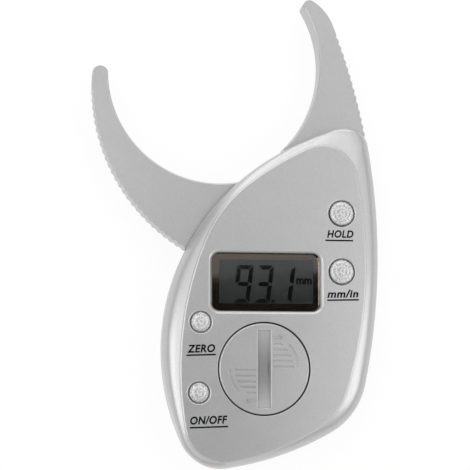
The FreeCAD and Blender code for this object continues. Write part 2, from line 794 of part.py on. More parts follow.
def pivot_pieces():
    turn("pivot_bushing", [
        ("post_radius + running_clearance", "jaw_bottom"),
        ("bushing_radius", "jaw_bottom"),
        ("bushing_radius", "jaw_top - pivot_recess_depth"),
        ("post_radius + running_clearance", "jaw_top - pivot_recess_depth"),
    ])
    turn("friction_washer", [
        ("post_radius + 0.1", "shoulder_top"),
        ("post_shoulder_radius", "shoulder_top"),
        ("post_shoulder_radius", "shoulder_top + friction_washer_height"),
        ("post_radius + 0.1", "shoulder_top + friction_washer_height"),
    ])
    turn("pivot_washer", [
        ("pivot_screw_radius + 0.1", "post_top"),
        ("pivot_recess_radius - 0.5", "post_top"),
        ("pivot_recess_radius - 0.5", "post_top + washer_thickness"),
        ("pivot_screw_radius + 0.1", "post_top + washer_thickness"),
    ])
    seat = "post_top + washer_thickness"
    turn("pivot_screw", [
        ("0", "post_top - pivot_screw_length + 0.5"),
        ("pivot_screw_radius", "post_top - pivot_screw_length + 0.5"),
        ("pivot_screw_radius", seat),
        ("pivot_screw_head_radius", seat),
        ("pivot_screw_head_radius", seat + " + pivot_screw_head_height * 0.6"),
        ("pivot_screw_head_radius * 0.7", seat + " + pivot_screw_head_height"),
        ("0", seat + " + pivot_screw_head_height"),
    ])


def encoder_rotor():
    """Thin patterned ring on the moving jaw's hub, read through the circuit board."""
    body = new_body("encoder_rotor")
    sketch = sketch_on(body, "XY_Plane", "rotor_outline", "jaw_top")
    draw_circle(sketch, "hub_radius - rotor_inset")
    draw_circle(sketch, "rotor_bore_radius")
    pad(body, sketch, "rotor_thickness", "rotor_pad")


# ---------------------------------------------------------------- electronics

def circuit_board():
    board = housing_plate(1, size("board_inset"), size("board_bottom"), size("board_top"))
    hole = size("post_outer_radius") + size("board_hole_clearance")
    for spot in spots(CASE_SCREW_SPOTS):
        board = board.cut(disc(hole, spot, size("board_bottom") - 1, size("board_top") + 1))
    for spot in spots(BOARD_SCREW_SPOTS):
        board = board.cut(disc(size("board_screw_radius") + size("board_hole_clearance"), spot,
                               size("board_bottom") - 1, size("board_top") + 1))
    battery = (size("battery_x"), size("battery_y"))
    opening = size("holder_radius") + size("board_hole_clearance")
    board = board.cut(disc(opening, battery, size("board_bottom") - 1, size("board_top") + 1))
    return keep_shape("circuit_board", board)


def display():
    """Clear lens in the window, the liquid crystal panel behind it, its frame and its connectors."""
    lens = new_body("display_lens")
    plate = sketch_on(lens, "XY_Plane", "lens_plate", "roof_bottom - 0.1")
    draw_rectangle(plate, "window_length - 2 * lens_fit", "window_height - 2 * lens_fit")
    raised = pad(lens, plate, "roof - lens_recess + 0.1", "lens_window")
    round_corners(lens, raised, "window_corner - lens_fit")
    flange = sketch_on(lens, "XY_Plane", "lens_flange_outline", "flange_bottom")
    draw_rectangle(flange, "window_length + 2 * lens_flange", "window_height + 2 * lens_flange")
    rim = pad(lens, flange, "lens_flange_thickness", "lens_flange")
    outside = size("window_length / 2 + 2 * lens_flange")
    round_corners(lens, rim, "lens_flange_corner", outside)
    place(lens, "window_x", "window_y")

    panel = new_body("lcd_panel")
    glass = sketch_on(panel, "XY_Plane", "lcd_outline", "lcd_bottom")
    draw_rectangle(glass, "lcd_length", "lcd_height")
    pad(panel, glass, "lcd_thickness", "lcd_glass")
    place(panel, "window_x", "window_y")

    frame = new_body("lcd_frame")
    outline = sketch_on(frame, "XY_Plane", "frame_outline", "board_top")
    draw_rectangle(outline, "window_length + 2 * lens_flange", "window_height + 2 * lens_flange")
    draw_rectangle(outline, "lcd_length + 2 * lcd_fit", "lcd_height + 2 * lcd_fit")
    wall = pad(frame, outline, "flange_bottom - board_top", "frame_wall")
    round_corners(frame, wall, "lens_flange_corner", outside)
    place(frame, "window_x", "window_y")

    for name, sign in (("upper_zebra_strip", "+"), ("lower_zebra_strip", "-")):
        strip = new_body(name)
        sketch = sketch_on(strip, "XY_Plane", name + "_outline", "board_top")
        draw_rectangle(sketch, "zebra_length", "zebra_width")
        pad(strip, sketch, "lcd_bottom - board_top", name + "_pad")
        place(strip, "window_x", "window_y %s (lcd_height / 2 - zebra_width)" % sign)


def controller_chip():
    chip = new_body("controller_chip")
    sketch = sketch_on(chip, "XY_Plane", "chip_outline", "board_top")
    draw_rectangle(sketch, "7", "7")
    pad(chip, sketch, "1.1", "chip_block")
    place(chip, "window_x + window_length / 2 + 1.5", "window_y - window_height / 2 - 7.5")


def button(name, radius):
    """Domed key with a flange that the roof holds back and a stem over its switch."""
    top = "face_height + button_edge"
    rise = "(button_rise - button_edge)"
    turn(name + "_button", [
        ("0", "board_top + switch_height + button_travel + 0.05"),
        ("button_stem_radius", "board_top + switch_height + button_travel + 0.05"),
        ("button_stem_radius", "roof_bottom - 0.1 - button_flange_thickness"),
        (radius + " + button_flange", "roof_bottom - 0.1 - button_flange_thickness"),
        (radius + " + button_flange", "roof_bottom - 0.1"),
        (radius, "roof_bottom - 0.1"),
        (radius, top),
        (radius + " * 0.92", top + " + %s * 0.38" % rise),
        (radius + " * 0.75", top + " + %s * 0.68" % rise),
        (radius + " * 0.4", top + " + %s * 0.93" % rise),
        ("0", top + " + " + rise),
    ], name + "_x", name + "_y")


def switch(name):
    body = new_body(name + "_switch")
    sketch = sketch_on(body, "XY_Plane", name + "_switch_outline", "board_top")
    draw_rectangle(sketch, "switch_size", "switch_size")
    base = pad(body, sketch, "switch_height * 0.6", name + "_switch_base")
    round_corners(body, base, "0.6")
    dome = sketch_on(body, "XY_Plane", name + "_switch_dome_outline", "board_top")
    draw_circle(dome, "switch_size * 0.36")
    pad(body, dome, "switch_height", name + "_switch_dome")
    place(body, name + "_x", name + "_y")


# ---------------------------------------------------------------- battery

def cell_pieces():
    x, y = "battery_x", "battery_y"
    turn("coin_cell", [
        ("0", "cell_bottom"),
        ("cell_radius - 1.2", "cell_bottom"),
        ("cell_radius - 0.9", "cell_bottom + 0.5"),
        ("cell_radius", "cell_bottom + 0.6"),
        ("cell_radius", "cell_top - 0.2"),
        ("cell_radius - 0.2", "cell_top"),
        ("0", "cell_top"),
    ], x, y)
    inner = "cell_radius + holder_fit"
    floor_bottom = "holder_floor_top - holder_wall"
    rim = "board_top + holder_flange_thickness"
    holder = turn("cell_holder", [
        ("3", floor_bottom),
        ("holder_radius", floor_bottom),
        ("holder_radius", "board_top"),
        ("holder_radius + holder_flange", "board_top"),
        ("holder_radius + holder_flange", rim),
        (inner, rim),
        (inner, "holder_floor_top"),
        ("3", "holder_floor_top"),
    ], x, y)
    notch = sketch_on(holder, "XY_Plane", "contact_notch", rim + " + 1")
    draw_rectangle(notch, "3", "contact_width + 0.4", "-" + inner, "0")
    pocket_down(holder, notch, rim + " + 1 - holder_floor_top", "contact_notch_cut")

    leaf = new_body("negative_contact")
    strip = sketch_on(leaf, "XY_Plane", "leaf_outline", "holder_floor_top")
    draw_rectangle(strip, "cell_radius * 1.6", "contact_width")
    pad(leaf, strip, "contact_thickness", "leaf_pad")
    place(leaf, x, y)

    clip = new_body("positive_contact")
    profile = sketch_on(clip, "XY_Plane", "clip_outline", "cell_bottom + 0.3")
    draw_rectangle(profile, "contact_thickness", "contact_width",
                   "-cell_radius - contact_thickness / 2 - running_clearance", "0")
    pad(clip, profile, "cell_height - 0.8", "clip_pad")
    place(clip, x, y)


def coin_slot_form():
    """What the coin slot cuts away: leaning side walls and a floor that falls from both ends."""
    length, depth, face = size("coin_slot_length"), size("coin_slot_depth"), size("face_height")
    half_top, half_floor = size("coin_slot_width / 2"), size("coin_slot_floor / 2")
    lean = (half_top - half_floor) / depth
    section = flat_polygon([
        Vector(-half_floor, -length, face - depth), Vector(half_floor, -length, face - depth),
        Vector(half_top + lean, -length, face + 1), Vector(-half_top - lean, -length, face + 1),
    ])
    half, end = length / 2, face - size("coin_slot_end_depth")
    side_view = flat_polygon([
        Vector(-length, -half, face + 1), Vector(-length, -half, end), Vector(-length, 0, face - depth),
        Vector(-length, half, end), Vector(-length, half, face + 1),
    ])
    return section.extrude(Vector(0, 2 * length, 0)).common(side_view.extrude(Vector(2 * length, 0, 0)))


def grip_form():
    """Five short grooves and an arc that help a thumb to turn the cover, for one quadrant."""
    face = size("face_height")
    bottom, top = face - size("grip_groove_depth"), face + 1
    start = size("coin_slot_width / 2 + grip_groove_gap")
    field = size("grip_field_radius")
    grooves = []
    for number in range(5):
        y = size("grip_groove_first") + number * size("grip_groove_pitch")
        corner = Vector(start, y - size("grip_groove_width / 2"), bottom)
        grooves.append(Part.makeBox(field, size("grip_groove_width"), top - bottom, corner))
    grooves = [groove.common(disc(field, (0, 0), bottom, top)) for groove in grooves]
    outer = sector(size("grip_arc_radius + grip_arc_width"), 3, 44, bottom, top)
    grooves.append(outer.cut(disc(size("grip_arc_radius"), (0, 0), bottom - 1, top + 1)))
    return grooves


def battery_cover():
    """Quarter-turn cover: a bevelled disc with a coin slot, a skirt below it and two bayonet lugs."""
    radius = "battery_bore_radius - battery_cover_gap"
    bevel = "battery_cover_bevel"
    groove = "cover_underside + battery_cover_thickness / 2"
    cover = turn("cover_disc", [
        ("skirt_inner_radius", "lug_bottom"),
        ("ledge_radius - skirt_gap", "lug_bottom"),
        ("ledge_radius - skirt_gap", "cover_underside"),
        (radius, "cover_underside"),
        (radius, groove + " - seal_thickness / 2"),
        (radius + " - seal_thickness / 2", groove + " - seal_thickness / 2"),
        (radius + " - seal_thickness / 2", groove + " + seal_thickness / 2"),
        (radius, groove + " + seal_thickness / 2"),
        (radius, "face_height - " + bevel),
        (radius + " - " + bevel, "face_height"),
        ("0", "face_height"),
        ("0", "cover_underside"),
        ("skirt_inner_radius", "cover_underside"),
    ], "battery_x", "battery_y")
    lug = sketch_on(cover, "XY_Plane", "lug_outline", "lug_bottom")
    tangent = math.tan(math.radians(size("lug_angle") / 2))
    inner, outer = "(ledge_radius - 0.8)", "(lug_radius * 0.97)"
    draw_polygon(lug, [
        (inner, "-%s * %f" % (inner, tangent)),
        (outer, "-%s * %f" % (outer, tangent)),
        (outer, "%s * %f" % (outer, tangent)),
        (inner, "%s * %f" % (inner, tangent)),
    ])
    lug_pad = pad(cover, lug, "lug_top - lug_bottom", "lug_pad")
    pattern = cover.newObject("PartDesign::PolarPattern", "lug_pattern")
    pattern.Originals = [lug_pad]
    pattern.Axis = (lug, ["N_Axis"])
    pattern.Angle = 360
    pattern.Occurrences = 2
    cover.Tip = pattern
    doc.recompute()

    form = coin_slot_form()
    for quadrant in grip_form():
        opposite = quadrant.copy()
        opposite.rotate(Vector(), UP, 180)
        form = form.fuse([quadrant, opposite])
    tool = doc.addObject("Part::Feature", "cover_cuts")
    tool.Shape = form
    place(tool, "battery_x", "battery_y")
    finished = doc.addObject("Part::Cut", "battery_cover")
    finished.Base = cover
    finished.Tool = tool
    finished.Label = "battery_cover"
    doc.recompute()

    ring = "(battery_bore_radius - battery_cover_gap)"
    half = "seal_thickness * 0.35"
    turn("battery_seal", [
        (ring + " - " + half, groove + " - " + half + " * 0.4"),
        (ring + " - " + half + " * 0.4", groove + " - " + half),
        (ring + " + " + half + " * 0.4", groove + " - " + half),
        (ring + " + " + half, groove + " - " + half + " * 0.4"),
        (ring + " + " + half, groove + " + " + half + " * 0.4"),
        (ring + " + " + half + " * 0.4", groove + " + " + half),
        (ring + " - " + half + " * 0.4", groove + " + " + half),
        (ring + " - " + half, groove + " + " + half + " * 0.4"),
    ], "battery_x", "battery_y")


# ---------------------------------------------------------------- screws

def screw_group(label, spots, corners):
    """Equal screws at several places, one turned profile repeated."""
    points = [Vector(size(radius), 0, size(height)) for radius, height in corners]
    profile = flat_polygon(points)
    screws = []
    for x, y in spots:
        screw = profile.revolve(Vector(0, 0, 0), UP, 360)
        screw.translate(Vector(x, y, 0))
        screws.append(screw)
    return keep_shape(label, Part.makeCompound(screws))


def case_screws():
    head = "case_screw_head_height + 0.1"
    return screw_group("case_screws", spots(CASE_SCREW_SPOTS), [
        ("0", "0.5"),
        ("case_screw_head_radius * 0.45", "0.5"),
        ("case_screw_head_radius * 0.45", "0.1"),
        ("case_screw_head_radius", "0.1"),
        ("case_screw_head_radius", head),
        ("case_screw_radius", head),
        ("case_screw_radius", "case_screw_length"),
        ("0", "case_screw_length + 1"),
    ])


def jaw_screws():
    seat = "jaw_top - jaw_screw_head_height"
    return screw_group("jaw_screws", spots(JAW_SCREW_SPOTS), [
        ("0", "floor_thickness - 0.3"),
        ("jaw_screw_radius", "floor_thickness - 0.3"),
        ("jaw_screw_radius", seat),
        ("jaw_screw_head_radius", seat),
        ("jaw_screw_head_radius", "jaw_top - 0.4"),
        ("jaw_screw_head_radius * 0.8", "jaw_top - 0.1"),
        ("0", "jaw_top - 0.1"),
    ])


def board_screws():
    return screw_group("board_screws", spots(BOARD_SCREW_SPOTS), [
        ("0", "board_bottom - board_screw_head_height"),
        ("board_screw_head_radius * 0.8", "board_bottom - board_screw_head_height"),
        ("board_screw_head_radius", "board_bottom - board_screw_head_height * 0.6"),
        ("board_screw_head_radius", "board_bottom"),
        ("board_screw_radius", "board_bottom"),
        ("board_screw_radius", "board_bottom + board_screw_length"),
        ("0", "board_bottom + board_screw_length"),
    ])


# ---------------------------------------------------------------- build and write

def check_and_write(parts):
    doc.recompute()
    for item in doc.Objects:
        if "Invalid" in item.State or "Error" in item.State:
            raise RuntimeError("%s failed: %s" % (item.Label, item.State))
    os.makedirs("parts", exist_ok=True)
    for item in parts:
        if item.Shape.isNull() or not item.Shape.isValid():
            raise RuntimeError("%s has no valid shape" % item.Label)
        item.Shape.exportStep(os.path.join("parts", item.Label + ".step"))
        print("%-20s %10.1f mm3  %d solid(s)" % (item.Label, item.Shape.Volume, len(item.Shape.Solids)))


def sub_parts():
    """Every finished piece: a body, a cut or a worked-out shape that no other object uses."""
    kinds = ("PartDesign::Body", "Part::Cut", "Part::Feature")
    return [item for item in doc.Objects if item.TypeId in kinds and not item.InList]


def main():
    front_cover()
    back_cover()
    moving_jaw()
    fixed_jaw()
    pivot_pieces()
    encoder_rotor()
    circuit_board()
    display()
    controller_chip()
    for name, radius in BUTTONS.items():
        button(name, radius)
        switch(name)
    cell_pieces()
    battery_cover()
    case_screws()
    jaw_screws()
    board_screws()
    check_and_write(sub_parts())


main()
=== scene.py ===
# %% [markdown]
# # A digital skinfold caliper
# The caliper measures a fold of skin between two crescent jaws. Its shape, its joints and its
# inner pieces come from the CAD model; this script gives every surface its finish, prints the
# words beside the keys, draws the digits of the display and sets up the studio.
# The frame is loaded first, because everything else is placed in its coordinates, in metres.

import json
import math

import bmesh
import bpy
from mathutils import Matrix, Vector

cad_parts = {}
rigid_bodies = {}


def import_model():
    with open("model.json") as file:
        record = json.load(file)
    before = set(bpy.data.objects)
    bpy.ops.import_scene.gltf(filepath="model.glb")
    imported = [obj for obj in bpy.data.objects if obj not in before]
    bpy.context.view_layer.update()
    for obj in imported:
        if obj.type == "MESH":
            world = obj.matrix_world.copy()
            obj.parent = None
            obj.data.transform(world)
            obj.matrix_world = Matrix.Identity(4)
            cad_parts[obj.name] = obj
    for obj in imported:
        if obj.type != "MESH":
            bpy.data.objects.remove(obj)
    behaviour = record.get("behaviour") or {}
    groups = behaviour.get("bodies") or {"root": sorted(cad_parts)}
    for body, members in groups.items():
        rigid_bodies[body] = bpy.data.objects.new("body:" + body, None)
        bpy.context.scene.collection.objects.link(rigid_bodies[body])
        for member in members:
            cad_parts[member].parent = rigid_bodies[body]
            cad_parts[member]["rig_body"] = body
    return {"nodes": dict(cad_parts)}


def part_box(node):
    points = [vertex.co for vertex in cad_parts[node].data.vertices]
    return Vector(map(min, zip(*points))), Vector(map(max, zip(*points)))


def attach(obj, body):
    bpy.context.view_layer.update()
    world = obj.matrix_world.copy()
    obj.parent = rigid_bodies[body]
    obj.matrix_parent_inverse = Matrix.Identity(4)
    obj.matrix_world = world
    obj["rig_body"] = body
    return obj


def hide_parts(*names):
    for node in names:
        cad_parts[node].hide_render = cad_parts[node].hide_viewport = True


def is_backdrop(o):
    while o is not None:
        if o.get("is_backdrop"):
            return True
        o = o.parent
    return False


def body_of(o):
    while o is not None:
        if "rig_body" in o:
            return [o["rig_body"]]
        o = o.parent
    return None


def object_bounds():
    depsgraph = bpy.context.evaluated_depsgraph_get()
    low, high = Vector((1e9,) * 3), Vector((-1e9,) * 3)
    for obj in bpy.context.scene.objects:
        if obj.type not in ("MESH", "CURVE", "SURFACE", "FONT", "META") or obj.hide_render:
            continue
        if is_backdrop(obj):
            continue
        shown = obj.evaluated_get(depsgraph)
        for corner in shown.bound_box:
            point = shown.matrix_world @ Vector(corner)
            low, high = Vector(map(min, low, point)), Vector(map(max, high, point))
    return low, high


MM = 0.001
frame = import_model()
nodes = frame["nodes"]
cad_box = [list(corner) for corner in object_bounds()]
print("CAD box in mm:", [[round(value / MM, 1) for value in corner] for corner in cad_box])

# %% [markdown]
# ## Four small helpers
# Colours are picked as sRGB hex values, as on a paint chart, but the shader works with linear
# light, so one function turns them over. A second function adds a shader node, sets it up and
# links it in one line, which keeps each material readable from its first input to its output.
# A third starts an empty material, and the last gives the scale at which a texture has
# features of a size in millimetres.

# %% Colour and node helpers
def linear(hex_colour):
    """Linear RGBA of an sRGB hex colour such as 'b9b9b8'."""
    channels = [int(hex_colour[start:start + 2], 16) / 255 for start in (0, 2, 4)]
    light = [c / 12.92 if c <= 0.04045 else ((c + 0.055) / 1.055) ** 2.4 for c in channels]
    return (*light, 1.0)


def add_node(tree, kind, inputs=None, **settings):
    """A new shader node; an input is a plain value or the output socket that feeds it."""
    node = tree.nodes.new(kind)
    for name, value in settings.items():
        setattr(node, name, value)
    for name, value in (inputs or {}).items():
        if isinstance(value, bpy.types.NodeSocket):
            tree.links.new(value, node.inputs[name])
        else:
            node.inputs[name].default_value = value
    return node


def new_material(name):
    """An empty material: its tree, its main shader and the object coordinates it reads."""
    material = bpy.data.materials.new(name)
    material.use_nodes = True
    tree = material.node_tree
    shader = tree.nodes["Principled BSDF"]
    place = add_node(tree, "ShaderNodeTexCoord").outputs["Object"]
    return material, tree, shader, place


def per_metre(size_mm):
    """Texture scale that gives a pattern features of this size."""
    return 1 / (size_mm * MM)


print("mid grey 808080 in linear light:", round(linear("808080")[0], 3))

# %% [markdown]
# ## Silver lacquer on moulded ABS
# The shells and jaws are ABS plastic sprayed with a silver lacquer. The lacquer holds fine
# aluminium flakes, so it is less sharp than bare metal and sparkles a little. Real flakes are
# about 0.03 mm, too fine to show, so they are drawn 0.25 mm wide. A very shallow ripple of
# a millimetre or two, the orange peel of sprayed paint, breaks up the reflections. An occlusion
# node paints shade into the colour in grooves, corners and gaps between parts. The battery
# cover has a deep coin slot: its painted shade reaches further, and its colour is painted darker
# below the face of the cover, a painted shade down in the slot.

# %% Silver lacquer
FLAKE_MM = 0.25
FLAKE_TONE = 0.05      # how far one flake is lighter or darker than the lacquer
FLAKE_HEIGHT = 0.25    # its height, as a share of the ripple's
RIPPLE_MM = 1.6
CLOUD_MM = 9.0         # size of the faint patches in the gloss
GLOSS_SPREAD = 0.01
SLOT_SHADE_LEVEL = 0.72      # brightness of the painted shade deep in the coin slot
SLOT_SHADE_DEPTH_MM = 1.0    # depth over which the painted shade comes in
PAINT_RELIEF_MM = 0.02


def silver_lacquer(name, colour, roughness, shade_reach_mm=1.3, shaded_level=0.7, shade_below=None):
    """Lacquer with flakes, ripple and painted shade in corners; below the given height, in metres, a
    painted shade darkens it.
    """
    material, tree, shader, place = new_material(name)
    flakes = add_node(tree, "ShaderNodeTexVoronoi", {"Vector": place, "Scale": per_metre(FLAKE_MM)})
    grey = add_node(tree, "ShaderNodeSeparateColor", {"Color": flakes.outputs["Color"]})
    shade = add_node(tree, "ShaderNodeMapRange", {
        "Value": grey.outputs["Red"], "To Min": 1 - FLAKE_TONE, "To Max": 1 + FLAKE_TONE})
    # Painted shade: occlusion darkens the colour in grooves, corners and gaps between parts.
    corners = add_node(tree, "ShaderNodeAmbientOcclusion", {
        "Distance": shade_reach_mm * MM}, samples=6)
    shade_factor = add_node(tree, "ShaderNodeMapRange", {
        "Value": corners.outputs["AO"], "From Min": 0.2, "From Max": 0.95,
        "To Min": shaded_level, "To Max": 1.0})
    level = add_node(tree, "ShaderNodeMath", {
        0: shade.outputs["Result"], 1: shade_factor.outputs["Result"]}, operation="MULTIPLY")
    # Painted shade: the colour gets darker below this height, down in the coin slot.
    if shade_below:
        axes = add_node(tree, "ShaderNodeSeparateXYZ", {"Vector": place})
        depth = add_node(tree, "ShaderNodeMapRange", {
            "Value": axes.outputs["Z"], "From Min": shade_below - SLOT_SHADE_DEPTH_MM * MM,
            "From Max": shade_below, "To Min": SLOT_SHADE_LEVEL, "To Max": 1.0})
        level = add_node(tree, "ShaderNodeMath", {
            0: level.outputs["Value"], 1: depth.outputs["Result"]}, operation="MULTIPLY")
    base = add_node(tree, "ShaderNodeVectorMath", {
        0: linear(colour)[:3], "Scale": level.outputs["Value"]}, operation="SCALE")
    cloud = add_node(tree, "ShaderNodeTexNoise", {
        "Vector": place, "Scale": per_metre(CLOUD_MM), "Detail": 3.0, "Roughness": 0.6})
    gloss = add_node(tree, "ShaderNodeMapRange", {
        "Value": cloud.outputs["Fac"], "From Min": 0.3, "From Max": 0.7,
        "To Min": roughness - GLOSS_SPREAD, "To Max": roughness + GLOSS_SPREAD})
    ripple = add_node(tree, "ShaderNodeTexNoise", {
        "Vector": place, "Scale": per_metre(RIPPLE_MM), "Detail": 2.0})
    grain = add_node(tree, "ShaderNodeMath", {
        0: grey.outputs["Green"], 1: FLAKE_HEIGHT, 2: ripple.outputs["Fac"]},
        operation="MULTIPLY_ADD")
    bump = add_node(tree, "ShaderNodeBump", {
        "Height": grain.outputs["Value"], "Strength": 0.35, "Distance": PAINT_RELIEF_MM * MM})
    tree.links.new(base.outputs["Vector"], shader.inputs["Base Color"])
    tree.links.new(gloss.outputs["Result"], shader.inputs["Roughness"])
    tree.links.new(bump.outputs["Normal"], shader.inputs["Normal"])
    shader.inputs["Metallic"].default_value = 0.8
    return material


shell_paint = silver_lacquer("silver_lacquer_shell", "bfbfbf", 0.31)
jaw_paint = silver_lacquer("silver_lacquer_jaws", "b9b9b9", 0.33)
UNSHADED_DEPTH_MM = 0.4    # down to here, below the shallow grooves, there is no painted shade
# On the battery cover the painted shade reaches further, into its coin slot, and darkens the slot
# floor.
cover_paint = silver_lacquer(
    "silver_lacquer_battery_cover", "bfbfbf", 0.31, shade_reach_mm=3.0, shaded_level=0.5,
    shade_below=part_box("battery_cover")[1].z - UNSHADED_DEPTH_MM * MM)
print("lacquers:", shell_paint.name, jaw_paint.name, cover_paint.name)

# %% [markdown]
# ## Stippled keys
# The key caps have the same lacquer over a stippled mould: shallow pits almost half
# a millimetre wide on the faint rings that the cutter left when it turned the mould. They catch
# the light one by one, and their colour is painted darker in the pits and paler on the raised
# parts, a painted shade and highlight, so the caps look bright and mottled. The rings need the
# middle of their own key, so each key gets its own material, centred by a Mapping node.

# %% Key paint
KEYS = ("hold_button", "units_button", "zero_button", "power_button")
# Painted highlight and painted shade of the stipple: raised parts paler, pits darker.
STIPPLE_HIGHLIGHT, STIPPLE_SHADE = "d2d2d2", "8f8f8f"
PIT_MM = 0.38
PIT_DEPTH_MM = 0.08
RING_MM = 1.3
RING_HEIGHT = 0.13     # as a share of the pits'
WAVE_RATE = 20         # the wave texture runs this many radians over one unit


def stippled_paint(node):
    """Lacquer over pits and rings that are centred on one key, with painted shade in the pits and
    painted highlight on top.
    """
    material, tree, shader, place = new_material("stippled_lacquer_" + node)
    low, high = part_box(node)
    centred = add_node(tree, "ShaderNodeMapping", {"Vector": place, "Location": -(low + high) / 2})
    pits = add_node(tree, "ShaderNodeTexNoise", {
        "Vector": centred.outputs["Vector"], "Scale": per_metre(PIT_MM),
        "Detail": 1.0, "Roughness": 0.5})
    rings = add_node(tree, "ShaderNodeTexWave", {
        "Vector": centred.outputs["Vector"], "Scale": per_metre(RING_MM) * math.tau / WAVE_RATE,
        "Distortion": 2.5, "Detail": 2.0, "Detail Scale": 1.5},
        wave_type="RINGS", rings_direction="Z")
    height = add_node(tree, "ShaderNodeMath", {
        0: rings.outputs["Fac"], 1: RING_HEIGHT, 2: pits.outputs["Fac"]}, operation="MULTIPLY_ADD")
    relief = add_node(tree, "ShaderNodeMapRange", {
        "Value": height.outputs["Value"], "From Min": 0.40, "From Max": 0.68})
    # Painted shade and highlight: the colour follows the relief, darker in the pits.
    tone = add_node(tree, "ShaderNodeMix", {
        "Factor": relief.outputs["Result"], "A": linear(STIPPLE_SHADE), "B": linear(STIPPLE_HIGHLIGHT)},
        data_type="RGBA")
    bump = add_node(tree, "ShaderNodeBump", {
        "Height": relief.outputs["Result"], "Strength": 0.45, "Distance": PIT_DEPTH_MM * MM})
    tree.links.new(tone.outputs["Result"], shader.inputs["Base Color"])
    tree.links.new(bump.outputs["Normal"], shader.inputs["Normal"])
    shader.inputs["Metallic"].default_value = 0.5
    shader.inputs["Roughness"].default_value = 0.35
    return material


key_paints = {node: stippled_paint(node) for node in KEYS}
print("keys painted:", len(key_paints))

# %% [markdown]
# ## Inks, glass and the inside
# The words are pad-printed in black ink. The display is a grey liquid crystal panel behind a
# clear acrylic lens. Most inner pieces only show from inside, but each still has the finish of
# what it is: fibreglass board, moulded nylon, elastomer, brass and plated steel.

# %% Plain mouldings, inks and metals
def moulded(name, dark, pale, grain_mm, roughness, metallic=0.0):
    """A surface with a fine grain that mixes two close tones."""
    material, tree, shader, place = new_material(name)
    grain = add_node(tree, "ShaderNodeTexNoise", {
        "Vector": place, "Scale": per_metre(grain_mm), "Detail": 4.0, "Roughness": 0.55})
    tone = add_node(tree, "ShaderNodeMix", {
        "Factor": grain.outputs["Fac"], "A": linear(dark), "B": linear(pale)}, data_type="RGBA")
    bump = add_node(tree, "ShaderNodeBump", {
        "Height": grain.outputs["Fac"], "Strength": 0.2, "Distance": 0.02 * MM})
    tree.links.new(tone.outputs["Result"], shader.inputs["Base Color"])
    tree.links.new(bump.outputs["Normal"], shader.inputs["Normal"])
    shader.inputs["Roughness"].default_value = roughness
    shader.inputs["Metallic"].default_value = metallic
    return material


label_ink = moulded("pad_printed_black_ink", "060606", "101010", 0.4, 0.5)
segment_ink = moulded("liquid_crystal_segment", "050505", "0a0b0a", 1.0, 0.7)
# Both inks are matt, so that they stay black under the lamps.
for ink in (label_ink, segment_ink):
    ink.node_tree.nodes["Principled BSDF"].inputs["Specular IOR Level"].default_value = 0.1
white_nylon = moulded("moulded_white_nylon", "c9c8c2", "dddcd6", 0.6, 0.55)
black_nylon = moulded("moulded_black_nylon", "101011", "1d1d1e", 0.5, 0.5)
elastomer = moulded("black_elastomer", "0a0a0a", "181818", 0.3, 0.75)
laminate = moulded("green_fibreglass_board", "0d3a1c", "1c5a2c", 0.8, 0.35)
plated_steel = moulded("plated_steel", "9b9b9c", "b5b5b6", 0.7, 0.3, metallic=1.0)
turned_brass = moulded("turned_brass", "a07a36", "c49a4e", 0.5, 0.3, metallic=1.0)


# %% Liquid crystal panel and lens
def crystal_panel():
    """Grey glass with a painted reflection that makes it a little lighter towards its upper edge,
    and the soft gloss of its polariser.
    """
    material, tree, shader, place = new_material("liquid_crystal_panel")
    low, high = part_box("lcd_panel")
    # Painted reflection: the colour gets lighter towards the upper edge of the panel.
    axes = add_node(tree, "ShaderNodeSeparateXYZ", {"Vector": place})
    height = add_node(tree, "ShaderNodeMapRange", {
        "Value": axes.outputs["Y"], "From Min": low.y, "From Max": high.y})
    mottle = add_node(tree, "ShaderNodeTexNoise", {
        "Vector": place, "Scale": per_metre(5.0), "Detail": 2.0})
    mixed = add_node(tree, "ShaderNodeMath", {
        0: mottle.outputs["Fac"], 1: 0.3, 2: height.outputs["Result"]}, operation="MULTIPLY_ADD")
    ramp = add_node(tree, "ShaderNodeValToRGB", {"Fac": mixed.outputs["Value"]})
    painted_reflection_stops = ((0.15, "2e302f"), (1.0, "424344"))
    for element, (position, colour) in zip(ramp.color_ramp.elements, painted_reflection_stops):
        element.position = position
        element.color = linear(colour)
    tree.links.new(ramp.outputs["Color"], shader.inputs["Base Color"])
    shader.inputs["Roughness"].default_value = 0.1
    shader.inputs["Specular IOR Level"].default_value = 0.9
    return material


def clear_lens():
    """Acrylic with an anti-glare coat, which is why its index is well under the plain 1.49."""
    material, tree, shader, place = new_material("coated_clear_acrylic")
    wave = add_node(tree, "ShaderNodeTexNoise", {"Vector": place, "Scale": per_metre(14.0)})
    bump = add_node(tree, "ShaderNodeBump", {
        "Height": wave.outputs["Fac"], "Strength": 0.05, "Distance": 0.05 * MM})
    tree.links.new(bump.outputs["Normal"], shader.inputs["Normal"])
    shader.inputs["Base Color"].default_value = linear("f4f5f4")
    shader.inputs["Roughness"].default_value = 0.03
    shader.inputs["IOR"].default_value = 1.17
    shader.inputs["Transmission Weight"].default_value = 1.0
    return material


lcd_glass = crystal_panel()
lens_glass = clear_lens()

# %% [markdown]
# ## Dress the CAD pieces
# A CAD piece arrives as loose triangles, which would show as facets on the round shoulder.
# So each piece that shows is copied, its triangles are joined, and all of it is shaded smooth
# except where it turns sharply. No moulded edge is perfectly sharp: on the pieces named in
# EDGES a bevel of one or two tenths of a millimetre gives each flat rim above a given height, and
# the seam between the covers, the thin line of light that the eye expects. A weighted-normal
# modifier then lets the large flat faces stay flat right up to their rounded borders.

